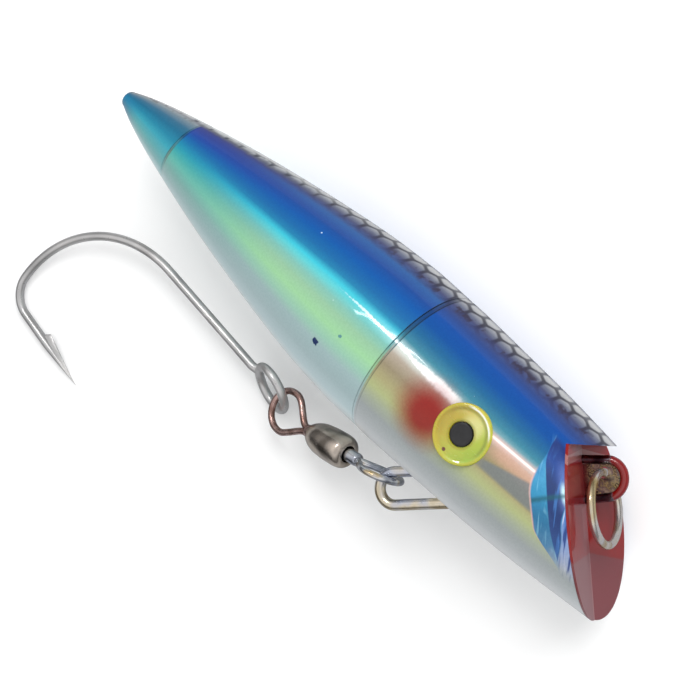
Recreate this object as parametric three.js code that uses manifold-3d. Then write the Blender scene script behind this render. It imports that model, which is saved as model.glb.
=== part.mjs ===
// Topwater popper: a clear-shelled, slant-faced surface lure with a wire nose loop and
// line ring, a wire belly hanger, a crane swivel on the hanger and a single hook.
//
// Units are millimetres, +Z is up. The lure lies on its left flank on a bench at
// z = 0, nose towards +X and back towards +Y. The lure's own pieces are drawn in an
// upright lure frame (X to the nose from the tail tip, Y to its left, Z to its back)
// and laid on their side as one group; the loose tackle is drawn straight in the
// bench frame.

import * as THREE from "three";
import { mergeVertices } from "three/addons/utils/BufferGeometryUtils.js";
import Module from "manifold-3d";

const wasm = await Module();
wasm.setup();

// ---- driving dimensions -------------------------------------------------------

const GAP = 0.3;
const ROUND_SIDES = 36;
const FOIL_SIDES = 24;

// body of revolution: station along the lure and radius there
const TAIL_STATIONS = [
  [1.2, 1.9], [5, 3.4], [12, 5.5], [24, 8.4], [38, 11.3], [54, 14.0], [68, 15.9], [80, 16.8],
];
const HEAD_STATIONS = [
  [93, 16.8], [102, 16.5], [118, 15.85], [134, 14.6], [152, 12.6],
];
const BODY_RADIUS = 16.8;
const WALL = 1.6;
const ORIGIN_STATION = 85;
const AXIS_HEIGHT = BODY_RADIUS * Math.cos(Math.PI / ROUND_SIDES);

// the three shell sections meet at two sealing rings
const TAIL_SEAM = 20.4;
const MID_SEAM = 89.4;
const TAIL_RING_WIDTH = 0.5;
const MID_RING_WIDTH = 0.9;
const RING_SINK = 0.15;
const FOIL = 0.4;
const FOIL_RADIUS_INSET = WALL + GAP;
const PLUG_RADIUS_INSET = FOIL_RADIUS_INSET + FOIL + GAP;

// slanted mouth: two facets meet in a groove that slopes from under the brow to the
// lip, and the flat underside of the brow slopes back to meet them
const GROOVE = { x: 127.1, z: 10.0 };
const GROOVE_SLOPE = Math.PI / 4;
const MOUTH_FOLD = THREE.MathUtils.degToRad(8);
const BROW_TIP = { x: 131.3, z: 14.75 };
const BROW_SLOPE = THREE.MathUtils.degToRad(36.5);
const MOUTH_PLATE = 1.2;
const SOLID_NOSE = 8.0;

// two wire staples in the lure's middle plane share one slanting line: the nose loop
// stands square out of the mouth and the belly hanger out of the belly behind it
const STAPLE_SLOPE = THREE.MathUtils.degToRad(43);
const NOSE_LOOP = { x: 134.4, z: 9.3, bend: 3.6, wire: 0.88, leg: 16.5, spread: 3.5 };
const BELLY_HANGER = { x: 101.7, z: -21.45, bend: 3.3, wire: 1.13, leg: 17.5, spread: 0 };

// eye sets
const EYE_X = 111.6;
const EYE_RISE = THREE.MathUtils.degToRad(2.5);
const EYE_RADIUS = 6.05;
const EYE_BACK = 15.2;
const EYE_TOP = 16.15;
const BEYOND_SHELL = 20;
const PUPIL_RADIUS = 2.4;

// line ring on the nose loop
const NOSE_RING = { x: 132.9, z: 9.6, radius: 6.95, wire: 0.85 };

// crane swivel: its axis passes a little beside the centre of the hanger's bend, and
// distances are measured along it from there
const SWIVEL_HEADING = THREE.MathUtils.degToRad(196.5);
const SWIVEL_DIP = THREE.MathUtils.degToRad(16.2);
const SWIVEL_BESIDE = -1.05;
const SWIVEL_START = 0.6;
const SWIVEL_END = 39.4;
const SWIVEL_LEAN = -1.1;
const BARREL_START = 14.8;
const BARREL_END = 26.2;
const BARREL_RADIUS = 3.6;
const BARREL_BORE = 1.8;
const SHAFT_RADIUS = 1.4;
const SHAFT_HEAD = 2.2;
const SWIVEL_WIRE = 0.72;
const SWIVEL_BULB = 4.4;

// hook: a tilted ring eye, then shank, bend, tight corner and point leg in one plane
const HOOK_WIRE = 0.97;
const HOOK_EYE_RADIUS = 4.95;
const HOOK_EYE = new THREE.Vector3(-22.5, -27.85, 6.0);
const HOOK_EYE_HEADING = THREE.MathUtils.degToRad(154.3);
const HOOK_EYE_RISE = THREE.MathUtils.degToRad(14.3);
const HOOK_EYE_ROLL = THREE.MathUtils.degToRad(48);
const HOOK_EYE_ENTRY = THREE.MathUtils.degToRad(25);
const HOOK_START = new THREE.Vector3(-28.6, -27.35, 5.9);
const HOOK_HEADING = THREE.MathUtils.degToRad(175.3);
const HOOK_DIP = THREE.MathUtils.degToRad(0.35);
const HOOK_LEAN = THREE.MathUtils.degToRad(7.6);
const HOOK_SHANK = 29.6;
const HOOK_BEND = 28.3;
const HOOK_CORNER = 6.1;
const HOOK_CORNER_SWEEP = THREE.MathUtils.degToRad(85);
const HOOK_POINT_LEG = 21;
const HOOK_TAPER = 12.5;
const BARB = [[1.5, 0], [12.4, 2.35], [13.4, 2.1], [14.4, 0.8], [14.8, 0]];
const BARB_THICKNESS = 1.0;

// ---- solids -------------------------------------------------------------------

function toSolid(geometry) {
  const bare = geometry.clone();
  bare.deleteAttribute("normal");
  bare.deleteAttribute("uv");
  const merged = mergeVertices(bare, 1e-5);
  return new wasm.Manifold(new wasm.Mesh({
    numProp: 3,
    vertProperties: new Float32Array(merged.attributes.position.array),
    triVerts: new Uint32Array(merged.index.array),
  }));
}

function toGeometry(solid) {
  const mesh = solid.getMesh();
  const geometry = new THREE.BufferGeometry();
  const positions = new THREE.BufferAttribute(new Float32Array(mesh.vertProperties), 3);
  geometry.setAttribute("position", positions);
  geometry.setIndex(new THREE.BufferAttribute(new Uint32Array(mesh.triVerts), 1));
  return geometry;
}

function cut(solid, ...tools) {
  return tools.reduce((rest, tool) => rest.subtract(tool), solid);
}

// everything on the far side of the plane normal . p = offset
function halfSpace(normal, offset) {
  const size = 500;
  const unit = normal.clone().normalize();
  const box = new THREE.BoxGeometry(size, size, size);
  box.translate(0, 0, size / 2);
  box.applyQuaternion(new THREE.Quaternion().setFromUnitVectors(new THREE.Vector3(0, 0, 1), unit));
  box.translate(unit.x * offset, unit.y * offset, unit.z * offset);
  return toSolid(box);
}

function slab(fromX, toX) {
  const box = new THREE.BoxGeometry(toX - fromX, 100, 100);
  box.translate((fromX + toX) / 2, 0, 0);
  return toSolid(box);
}

// revolves [station, radius] pairs about the X axis, with flats facing +-Y and +-Z
function turned(profile, sides) {
  const points = profile.map(([x, r]) => new THREE.Vector2(r, x));
  const geometry = new THREE.LatheGeometry(points, sides, Math.PI / sides, 2 * Math.PI);
  geometry.rotateZ(-Math.PI / 2);
  return outward(geometry);
}

function outward(geometry) {
  const bare = geometry.index ? geometry : mergeVertices(geometry);
  const p = bare.attributes.position;
  const index = bare.index.array;
  const [a, b, c] = [0, 1, 2].map(() => new THREE.Vector3());
  let volume = 0;
  for (let i = 0; i < index.length; i += 3) {
    a.fromBufferAttribute(p, index[i]);
    b.fromBufferAttribute(p, index[i + 1]);
    c.fromBufferAttribute(p, index[i + 2]);
    volume += a.dot(b.cross(c));
  }
  if (volume < 0) index.reverse();
  return bare;
}

// a tube with flat ends along a flat path; each path point carries its own radius
function wireAlong(path, normal, sides) {
  const count = path.length;
  const positions = [];
  const index = [];
  for (let i = 0; i < count; i++) {
    const before = path[Math.max(i - 1, 0)].at;
    const after = path[Math.min(i + 1, count - 1)].at;
    const side = after.clone().sub(before).normalize().cross(normal).normalize();
    for (let k = 0; k < sides; k++) {
      const turn = (2 * Math.PI * k) / sides;
      const point = path[i].at.clone()
        .addScaledVector(side, path[i].r * Math.cos(turn))
        .addScaledVector(normal, path[i].r * Math.sin(turn));
      positions.push(...point.toArray());
    }
  }
  for (let i = 0; i < count - 1; i++) {
    for (let k = 0; k < sides; k++) {
      const m = (k + 1) % sides;
      const [a, b] = [i * sides, (i + 1) * sides];
      index.push(a + k, b + k, b + m);
      index.push(a + k, b + m, a + m);
    }
  }
  const last = (count - 1) * sides;
  for (let k = 1; k < sides - 1; k++) {
    index.push(0, k, k + 1);
    index.push(last, last + k + 1, last + k);
  }
  const geometry = new THREE.BufferGeometry();
  geometry.setAttribute("position", new THREE.Float32BufferAttribute(positions, 3));
  geometry.setIndex(index);
  return outward(geometry);
}

// points on an arc in the plane of two unit vectors
function arc(centre, u, v, radius, from, to, steps) {
  return Array.from({ length: steps + 1 }, (_, i) => {
    const t = from + ((to - from) * i) / steps;
    return centre.clone()
      .addScaledVector(u, radius * Math.cos(t))
      .addScaledVector(v, radius * Math.sin(t));
  });
}

// ---- body profile -------------------------------------------------------------

function splineRadius(stations, x) {
  const curve = new THREE.SplineCurve(stations.map(([sx, r]) => new THREE.Vector2(sx, r)));
  let low = 0;
  let high = 1;
  for (let i = 0; i < 30; i++) {
    const middle = (low + high) / 2;
    if (curve.getPoint(middle).x < x) low = middle;
    else high = middle;
  }
  return curve.getPoint((low + high) / 2).y;
}

function bodyRadius(x) {
  if (x <= 80) return splineRadius(TAIL_STATIONS, x);
  if (x < 93) return BODY_RADIUS;
  return splineRadius(HEAD_STATIONS, x);
}

const TAIL_CUTS = [1.2, 2.6, 5, 8.5, 12, 18, 24, 34, 46, 58, 69, 80];
const HEAD_CUTS = [93, 102, 112, 124, 138, 152];
const STATIONS = [...TAIL_CUTS, ...HEAD_CUTS];

// solid of revolution following the body at a constant inset, between two stations
function bodyCore(inset, fromX, toX, sides = ROUND_SIDES) {
  const inner = STATIONS.filter((x) => x > fromX + 0.4 && x < toX - 0.4);
  const wall = [fromX, ...inner, toX].map((x) => [x, bodyRadius(x) - inset]);
  return toSolid(turned([[fromX, 0], ...wall, [toX, 0]], sides));
}

function bodyHull() {
  const tip = [[0, 0], [0.2, 0.9], [0.6, 1.5]];
  const wall = STATIONS.map((x) => [x, bodyRadius(x)]);
  return toSolid(turned([...tip, ...wall, [152, 0]], ROUND_SIDES));
}

// ---- mouth --------------------------------------------------------------------

// the space in front of the mouth facets and under the brow; depth moves the facets
// back into the body and drop lowers the roof
function mouthSpace(depth, drop = 0) {
  const slant = new THREE.Vector3(Math.sin(GROOVE_SLOPE), 0, Math.cos(GROOVE_SLOPE));
  const facets = [1, -1].map((side) => {
    const normal = slant.clone().setY(-side * Math.tan(MOUTH_FOLD));
    const groove = slant.x * GROOVE.x + slant.z * GROOVE.z - depth;
    return halfSpace(normal, groove / normal.length());
  });
  return facets[0].intersect(facets[1]).intersect(underBrow(drop));
}

function underBrow(drop) {
  const down = new THREE.Vector3(Math.sin(BROW_SLOPE), 0, -Math.cos(BROW_SLOPE));
  return halfSpace(down, down.x * BROW_TIP.x + down.z * BROW_TIP.z + drop);
}

// the slanted space behind the mouth that stays solid all the way up to the back
function noseBlock(depth) {
  const slant = new THREE.Vector3(Math.sin(GROOVE_SLOPE), 0, Math.cos(GROOVE_SLOPE));
  return halfSpace(slant, slant.x * GROOVE.x + slant.z * GROOVE.z - depth);
}

// ---- wire staples ---------------------------------------------------------------

// a U of wire: legs run back along the slope from a half-round bend
function stapleSolid(staple, outwards, extra, sides) {
  const out = new THREE.Vector3(
    outwards * Math.cos(STAPLE_SLOPE), 0, outwards * Math.sin(STAPLE_SLOPE),
  );
  const side = new THREE.Vector3(-out.z, 0, out.x);
  const spread = THREE.MathUtils.degToRad(staple.spread);
  const centre = new THREE.Vector3(staple.x, 0, staple.z);
  const half = Math.PI / 2;
  const bend = arc(centre, out, side, staple.bend, -half - spread, half + spread, 14);
  const footOf = (at, sign) => at.clone()
    .addScaledVector(out, -staple.leg * Math.cos(spread))
    .addScaledVector(side, sign * staple.leg * Math.sin(spread));
  const points = [footOf(bend[0], -1), ...bend, footOf(bend.at(-1), 1)];
  const path = points.map((at) => ({ at, r: staple.wire + extra }));
  return toSolid(wireAlong(path, new THREE.Vector3(0, 1, 0), sides));
}

function noseLoop(extra = 0, sides = 12) {
  return stapleSolid(NOSE_LOOP, 1, extra, sides);
}

function bellyHanger(extra = 0, sides = 12) {
  return stapleSolid(BELLY_HANGER, -1, extra, sides);
}

// ---- shell sections and inner pieces -------------------------------------------

function tailCap() {
  const end = TAIL_SEAM - TAIL_RING_WIDTH / 2 - GAP;
  return cut(
    bodyHull().intersect(slab(-1, end)),
    bodyCore(WALL, 6, end + 1),
  );
}

function mainShell() {
  const start = TAIL_SEAM + TAIL_RING_WIDTH / 2 + GAP;
  const end = MID_SEAM - MID_RING_WIDTH / 2 - GAP;
  return cut(
    bodyHull().intersect(slab(start, end)),
    bodyCore(WALL, start - 1, end + 1),
  );
}

function headShell() {
  const start = MID_SEAM + MID_RING_WIDTH / 2 + GAP;
  const cavity = bodyCore(WALL, start - 1, 150)
    .subtract(noseBlock(MOUTH_PLATE + GAP + SOLID_NOSE));
  return cut(
    bodyHull().intersect(slab(start, 160)),
    cavity,
    mouthSpace(MOUTH_PLATE + GAP),
    eyePocket(1),
    eyePocket(-1),
    noseLoop(GAP, 10),
    bellyHanger(GAP, 10),
  );
}

function mouthPlate() {
  return cut(
    bodyHull().intersect(mouthSpace(MOUTH_PLATE, GAP)),
    mouthSpace(0),
    noseLoop(GAP, 10),
  );
}

function foilSleeve(fromX, toX) {
  return cut(
    bodyCore(FOIL_RADIUS_INSET, fromX, toX, FOIL_SIDES),
    bodyCore(FOIL_RADIUS_INSET + FOIL, fromX - 1, toX + 1, FOIL_SIDES),
  );
}

function headFoil() {
  const start = MID_SEAM + 0.2;
  return cut(
    foilSleeve(start, 150),
    noseBlock(MOUTH_PLATE + SOLID_NOSE + 2 * GAP),
    bellyHanger(GAP, 10),
  );
}

// a sealing ring in the seam between two shell sections
function seamRing(station, width) {
  const outer = bodyRadius(station) - RING_SINK;
  const inner = bodyRadius(station) - WALL;
  const [a, b] = [station - width / 2, station + width / 2];
  return toSolid(turned([[a, inner], [a, outer], [b, outer], [b, inner], [a, inner]], ROUND_SIDES));
}

// joins the tail cap to the main shell and carries the ballast in a deep pocket
const BALLAST = { from: 18, to: 46, radius: 4.3 };
const TAIL_PLUG_STATIONS = [14, 18, 24, 27];
const POCKET_WALL = 1.1;

function tailJoint() {
  const pocket = BALLAST.radius + GAP;
  const outer = TAIL_PLUG_STATIONS.map((x) => [x, bodyRadius(x) - PLUG_RADIUS_INSET]);
  return toSolid(turned([
    [outer[0][0], 0], ...outer,
    [outer.at(-1)[0], pocket + POCKET_WALL], [BALLAST.to, pocket + POCKET_WALL],
    [BALLAST.to, pocket], [BALLAST.from - GAP, pocket], [BALLAST.from - GAP, 0],
  ], FOIL_SIDES));
}

function tailBallast() {
  const { from, to, radius } = BALLAST;
  return toSolid(turned([
    [from, 0], [from, radius - 0.6], [from + 0.6, radius],
    [to - 0.6, radius], [to, radius - 0.6], [to, 0],
  ], 24));
}

// joins the main shell to the head and carries the rattle tube in its bore
const RATTLE = { from: 71, to: 99, radius: 5.0, wall: 0.8, ball: 3.7 };
const MID_PLUG = { from: 83, to: 96, web: 87, webEnd: 90, hubFrom: 82, wall: 1.6 };

function midJoint() {
  const { from, to, web, webEnd, hubFrom, wall } = MID_PLUG;
  const bore = RATTLE.radius + GAP;
  const hub = bore + wall;
  const rim = BODY_RADIUS - PLUG_RADIUS_INSET;
  return toSolid(turned([
    [hubFrom, bore], [hubFrom, hub], [web, hub], [web, rim - wall], [from, rim - wall],
    [from, rim], [to, rim], [to, rim - wall], [webEnd, rim - wall], [webEnd, hub],
    [to, hub], [to, bore], [hubFrom, bore],
  ], FOIL_SIDES));
}

function rattleTube() {
  const { from, to, radius, wall } = RATTLE;
  return toSolid(turned([
    [from, 0], [from, radius], [to, radius], [to, radius - wall],
    [from + wall, radius - wall], [from + wall, 0],
  ], 24));
}

function rattleCap() {
  const { to, radius, wall } = RATTLE;
  const plug = radius - wall - GAP;
  return toSolid(turned([
    [to - 2, 0], [to - 2, plug], [to + GAP, plug], [to + GAP, radius],
    [to + GAP + wall, radius], [to + GAP + wall, 0],
  ], 24));
}

function rattleBall() {
  const ball = new THREE.SphereGeometry(RATTLE.ball, 16, 10);
  ball.rotateZ(Math.PI / 2);
  ball.translate(RATTLE.from + RATTLE.wall + GAP + RATTLE.ball, 0, 0);
  return ball;
}

// an anchor block inside the head grips the legs of both staples
const ANCHOR = { x: 118.2, z: -5.8, length: 17, height: 13, width: 8 };

function wireAnchor() {
  const block = new THREE.BoxGeometry(ANCHOR.length, ANCHOR.width, ANCHOR.height);
  block.rotateY(-STAPLE_SLOPE);
  block.translate(ANCHOR.x, 0, ANCHOR.z);
  const room = bodyCore(PLUG_RADIUS_INSET, 97, 150, FOIL_SIDES)
    .subtract(noseBlock(MOUTH_PLATE + SOLID_NOSE + 2 * GAP));
  return cut(toSolid(block).intersect(room), noseLoop(GAP, 10), bellyHanger(GAP, 10));
}

// ---- eyes ---------------------------------------------------------------------

// revolves [radius, height] pairs about the eye's own axis and seats it on one flank
function onEyeAxis(profile, side, sides) {
  const points = profile.map(([r, h]) => new THREE.Vector2(r, h));
  const geometry = outward(new THREE.LatheGeometry(points, sides));
  const axis = new THREE.Vector3(0, side * Math.cos(EYE_RISE), Math.sin(EYE_RISE));
  geometry.applyQuaternion(
    new THREE.Quaternion().setFromUnitVectors(new THREE.Vector3(0, 1, 0), axis),
  );
  geometry.translate(EYE_X, 0, 0);
  return geometry;
}

function eyePocket(side) {
  const r = EYE_RADIUS + GAP;
  const back = EYE_BACK - GAP;
  return toSolid(onEyeAxis([
    [0, back], [r, back], [r, BEYOND_SHELL], [0, BEYOND_SHELL],
  ], side, 32));
}

function eyeCup(side) {
  const hole = PUPIL_RADIUS + GAP;
  return onEyeAxis([
    [0, EYE_BACK], [EYE_RADIUS, EYE_BACK], [EYE_RADIUS, EYE_TOP - 0.15],
    [EYE_RADIUS - 0.2, EYE_TOP], [EYE_RADIUS - 0.7, EYE_TOP], [EYE_RADIUS - 1.1, EYE_TOP - 0.3],
    [hole, EYE_TOP - 0.2], [hole, EYE_BACK + 0.35], [0, EYE_BACK + 0.35],
  ], side, 32);
}

function pupil(side) {
  const floor = EYE_BACK + 0.35 + GAP;
  return onEyeAxis([
    [0, floor], [PUPIL_RADIUS, floor], [PUPIL_RADIUS, EYE_TOP - 0.05],
    [PUPIL_RADIUS - 0.35, EYE_TOP + 0.15], [0, EYE_TOP + 0.15],
  ], side, 20);
}

// ---- tackle in the bench frame --------------------------------------------------

// lure-frame point on the middle plane to the bench frame
function onBench(x, z) {
  return new THREE.Vector3(x - ORIGIN_STATION, z, AXIS_HEIGHT);
}

// the ring hangs in the loop, square to it, and lies over the mouth towards the lip
function noseRing() {
  const ring = new THREE.TorusGeometry(NOSE_RING.radius, NOSE_RING.wire, 10, 32);
  ring.rotateZ(Math.PI / 32);
  const towardsLip = new THREE.Vector3(Math.SQRT1_2, -Math.SQRT1_2, 0);
  const offMouth = new THREE.Vector3(Math.SQRT1_2, Math.SQRT1_2, 0);
  const sideways = new THREE.Vector3().crossVectors(offMouth, towardsLip);
  ring.applyMatrix4(new THREE.Matrix4().makeBasis(towardsLip, sideways, offMouth));
  const centre = onBench(NOSE_RING.x, NOSE_RING.z)
    .addScaledVector(towardsLip, NOSE_RING.radius);
  ring.translate(centre.x, centre.y, centre.z);
  return toSolid(ring);
}

// the swivel's axis, and the two directions its wire eyes lie in
const SWIVEL_AXIS = new THREE.Vector3(
  Math.cos(SWIVEL_HEADING) * Math.cos(SWIVEL_DIP),
  Math.sin(SWIVEL_HEADING) * Math.cos(SWIVEL_DIP),
  -Math.sin(SWIVEL_DIP),
);
const SWIVEL_SIDE = new THREE.Vector3(
  -Math.sin(SWIVEL_HEADING), Math.cos(SWIVEL_HEADING), 0,
);
const SWIVEL_UP = new THREE.Vector3().crossVectors(SWIVEL_AXIS, SWIVEL_SIDE);
const SWIVEL_ROOT = onBench(BELLY_HANGER.x, BELLY_HANGER.z)
  .addScaledVector(SWIVEL_SIDE, SWIVEL_BESIDE);

// a pinched wire eye: twin wires leave the shaft and open into a round bulb, which may
// stand a little to one side of the axis
function wireEye(shaftAt, endAt, lateral, normal, lean = 0) {
  const way = Math.sign(endAt - shaftAt);
  const bulbAt = endAt - way * SWIVEL_BULB;
  const neck = [[shaftAt, SWIVEL_WIRE], [bulbAt - way * 6.0, SWIVEL_WIRE + 0.04]];
  const opening = THREE.MathUtils.degToRad(128);
  const steps = 8;
  const bulb = Array.from({ length: steps + 1 }, (_, i) => {
    const turn = opening - (2 * opening * i) / steps;
    return [
      bulbAt + way * SWIVEL_BULB * Math.cos(turn),
      lean + SWIVEL_BULB * Math.sin(turn),
    ];
  });
  const back = neck.slice().reverse().map(([s, w]) => [s, -w]);
  const curve = new THREE.CatmullRomCurve3([...neck, ...bulb, ...back].map(([s, w]) => (
    SWIVEL_ROOT.clone().addScaledVector(SWIVEL_AXIS, s).addScaledVector(lateral, w)
  )));
  const path = curve.getPoints(34).map((at) => ({ at, r: SWIVEL_WIRE }));
  return wireAlong(path, normal, 8);
}

// revolves [distance, radius] pairs about the swivel's axis
function aboutSwivel(profile, sides) {
  const geometry = turned(profile, sides);
  geometry.applyMatrix4(new THREE.Matrix4().makeBasis(SWIVEL_AXIS, SWIVEL_SIDE, SWIVEL_UP));
  geometry.translate(SWIVEL_ROOT.x, SWIVEL_ROOT.y, SWIVEL_ROOT.z);
  return outward(geometry);
}

// shaft with a retaining head, drawn from the head (inside the barrel) outwards
function swivelShaft(headAt, neckAt) {
  const step = Math.sign(neckAt - headAt);
  return toSolid(aboutSwivel([
    [headAt, 0], [headAt, SHAFT_HEAD], [headAt + step * 1.3, SHAFT_HEAD],
    [headAt + step * 1.9, SHAFT_RADIUS], [neckAt - step * 0.6, SHAFT_RADIUS],
    [neckAt, SHAFT_RADIUS - 0.35], [neckAt, 0],
  ], 20));
}

function swivelEyeLower() {
  const wire = wireEye(BARREL_START - 2.2, SWIVEL_START, SWIVEL_UP, SWIVEL_SIDE);
  return swivelShaft(BARREL_START + 4.2, BARREL_START - 3.4).add(toSolid(wire));
}

function swivelEyeUpper() {
  const wire = wireEye(
    BARREL_END + 0.6, SWIVEL_END, SWIVEL_SIDE, SWIVEL_UP, SWIVEL_LEAN,
  );
  return swivelShaft(BARREL_END - 4.2, BARREL_END + 1.6).add(toSolid(wire));
}

function swivelBarrel() {
  const cavity = SHAFT_HEAD + 0.4;
  const [a, b] = [BARREL_START, BARREL_END];
  const r = BARREL_RADIUS;
  return aboutSwivel([
    [a, BARREL_BORE], [a, r - 1.1], [a + 0.4, r - 0.55], [a + 1.2, r - 0.15],
    [a + 2.8, r], [(a + b) / 2, r - 0.05], [b - 3.2, r - 0.3], [b - 1.5, r - 0.8],
    [b - 0.5, r - 1.3], [b, BARREL_BORE + 0.2], [b, BARREL_BORE], [b - 1.3, BARREL_BORE],
    [b - 1.9, cavity], [a + 1.9, cavity], [a + 1.3, BARREL_BORE], [a, BARREL_BORE],
  ], 20);
}

// hook: ring eye, straight shank, round bend, tight corner, straight point leg
const SHANK_DIRECTION = new THREE.Vector3(
  Math.cos(HOOK_HEADING) * Math.cos(HOOK_DIP),
  Math.sin(HOOK_HEADING) * Math.cos(HOOK_DIP),
  -Math.sin(HOOK_DIP),
);
const GAPE_DIRECTION = new THREE.Vector3(
  Math.sin(HOOK_HEADING) * -1, Math.cos(HOOK_HEADING), 0,
).applyAxisAngle(SHANK_DIRECTION, -HOOK_LEAN);
const HOOK_NORMAL = new THREE.Vector3().crossVectors(SHANK_DIRECTION, GAPE_DIRECTION);

// the eye's two in-plane directions: towards the shank, and up across the ring
const EYE_AFT = new THREE.Vector3(
  Math.cos(HOOK_EYE_HEADING) * Math.cos(HOOK_EYE_RISE),
  Math.sin(HOOK_EYE_HEADING) * Math.cos(HOOK_EYE_RISE),
  Math.sin(HOOK_EYE_RISE),
);
const EYE_UPWARDS = new THREE.Vector3(
  Math.sin(HOOK_EYE_HEADING), -Math.cos(HOOK_EYE_HEADING), 0,
).applyAxisAngle(EYE_AFT, -HOOK_EYE_ROLL);

function hookPoint(along, across) {
  return HOOK_START.clone()
    .addScaledVector(SHANK_DIRECTION, along)
    .addScaledVector(GAPE_DIRECTION, across);
}

function hookPath() {
  const [u, v] = [SHANK_DIRECTION, GAPE_DIRECTION];
  const quarter = Math.PI / 2;
  const eyeEnd = HOOK_EYE.clone()
    .addScaledVector(EYE_AFT, HOOK_EYE_RADIUS * Math.cos(HOOK_EYE_ENTRY))
    .addScaledVector(EYE_UPWARDS, -HOOK_EYE_RADIUS * Math.sin(HOOK_EYE_ENTRY));
  const shank = [eyeEnd, ...[0.02, 0.1, 0.5].map((t) => hookPoint(t * HOOK_SHANK, 0))];
  const bend = arc(hookPoint(HOOK_SHANK, HOOK_BEND), u, v, HOOK_BEND, -quarter, 0, 12);
  const centre = hookPoint(HOOK_SHANK + HOOK_BEND - HOOK_CORNER, HOOK_BEND);
  const corner = arc(centre, u, v, HOOK_CORNER, 0, HOOK_CORNER_SWEEP, 6).slice(1);
  const start = corner.at(-1);
  const heading = quarter + HOOK_CORNER_SWEEP;
  const leg = [0.25, 0.45, 0.7, 0.85, 1].map((t) => start.clone()
    .addScaledVector(u, t * HOOK_POINT_LEG * Math.cos(heading))
    .addScaledVector(v, t * HOOK_POINT_LEG * Math.sin(heading)));
  return [...shank, ...bend, ...corner, ...leg];
}

function hook() {
  const points = hookPath();
  const tip = points.at(-1);
  const path = points.map((at) => ({
    at,
    r: HOOK_WIRE * Math.min(1, 0.08 + at.distanceTo(tip) / HOOK_TAPER),
  }));
  const wire = toSolid(wireAlong(path, HOOK_NORMAL, 10));
  return wire.add(hookEye()).add(hookBarb(points));
}

function hookEye() {
  const ring = new THREE.TorusGeometry(HOOK_EYE_RADIUS, HOOK_WIRE, 10, 24);
  const through = new THREE.Vector3().crossVectors(EYE_AFT, EYE_UPWARDS);
  ring.applyMatrix4(new THREE.Matrix4().makeBasis(EYE_AFT, EYE_UPWARDS, through));
  ring.translate(HOOK_EYE.x, HOOK_EYE.y, HOOK_EYE.z);
  return toSolid(ring);
}

// the barb is a thin wedge raised on the inner side of the point leg
function hookBarb(points) {
  const tip = points.at(-1);
  const back = points.at(-6).clone().sub(tip).normalize();
  const inward = new THREE.Vector3().crossVectors(HOOK_NORMAL, back);
  if (inward.dot(GAPE_DIRECTION) > 0) inward.negate();
  const outline = new THREE.Shape(BARB.map(([s, h]) => new THREE.Vector2(s, h)));
  const wedge = new THREE.ExtrudeGeometry(outline, {
    depth: BARB_THICKNESS, bevelEnabled: false,
  });
  wedge.translate(0, 0, -BARB_THICKNESS / 2);
  const depthways = new THREE.Vector3().crossVectors(back, inward);
  wedge.applyMatrix4(new THREE.Matrix4().makeBasis(back, inward, depthways));
  wedge.translate(tip.x, tip.y, tip.z);
  return toSolid(wedge);
}

// ---- scene graph --------------------------------------------------------------

const COLOURS = {
  clear: { color: 0xa9c9dc, roughness: 0.08, metalness: 0.0 },
  foil: { color: 0x5fb8c9, roughness: 0.25, metalness: 0.9 },
  red: { color: 0x7d1416, roughness: 0.1, metalness: 0.0 },
  seam: { color: 0x26323a, roughness: 0.4, metalness: 0.0 },
  inner: { color: 0xd9d6cc, roughness: 0.5, metalness: 0.0 },
  lead: { color: 0x6e7074, roughness: 0.55, metalness: 0.8 },
  brass: { color: 0xb08d4a, roughness: 0.3, metalness: 1.0 },
  steel: { color: 0xb9bcc0, roughness: 0.18, metalness: 1.0 },
  copper: { color: 0x9c7566, roughness: 0.3, metalness: 1.0 },
  eye: { color: 0xd6c62c, roughness: 0.12, metalness: 0.0 },
  black: { color: 0x08080a, roughness: 0.08, metalness: 0.0 },
};

function piece(name, shape, colour) {
  const geometry = shape.isBufferGeometry ? shape : toGeometry(shape);
  const material = new THREE.MeshStandardMaterial(COLOURS[colour]);
  const mesh = new THREE.Mesh(geometry, material);
  mesh.name = name;
  return mesh;
}

// turns the upright lure on to its left flank, with the flank's flat on the bench
const lure = new THREE.Group();
lure.rotation.x = -Math.PI / 2;
lure.position.set(-ORIGIN_STATION, 0, AXIS_HEIGHT);
lure.add(
  piece("tail_cap", tailCap(), "clear"),
  piece("main_shell", mainShell(), "clear"),
  piece("head_shell", headShell(), "clear"),
  piece("mouth_plate", mouthPlate(), "red"),
  piece("seam_ring_tail", seamRing(TAIL_SEAM, TAIL_RING_WIDTH), "seam"),
  piece("seam_ring_mid", seamRing(MID_SEAM, MID_RING_WIDTH), "seam"),
  piece("foil_tail", foilSleeve(8, TAIL_SEAM - 0.2), "foil"),
  piece("foil_main", foilSleeve(TAIL_SEAM + 0.2, MID_SEAM - 0.2), "foil"),
  piece("foil_head", headFoil(), "foil"),
  piece("tail_joint", tailJoint(), "inner"),
  piece("mid_joint", midJoint(), "inner"),
  piece("tail_ballast", tailBallast(), "lead"),
  piece("rattle_tube", rattleTube(), "brass"),
  piece("rattle_cap", rattleCap(), "brass"),
  piece("rattle_ball", rattleBall(), "steel"),
  piece("wire_anchor", wireAnchor(), "inner"),
  piece("nose_loop", noseLoop(), "steel"),
  piece("belly_hanger", bellyHanger(), "steel"),
  piece("eye_right", eyeCup(-1), "eye"),
  piece("eye_left", eyeCup(1), "eye"),
  piece("pupil_right", pupil(-1), "black"),
  piece("pupil_left", pupil(1), "black"),
);

const popper = new THREE.Group();
popper.add(
  lure,
  piece("nose_ring", noseRing(), "brass"),
  piece("swivel_eye_lower", swivelEyeLower(), "steel"),
  piece("swivel_barrel", swivelBarrel(), "steel"),
  piece("swivel_eye_upper", swivelEyeUpper(), "copper"),
  piece("hook", hook(), "steel"),
);

export default popper;
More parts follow.
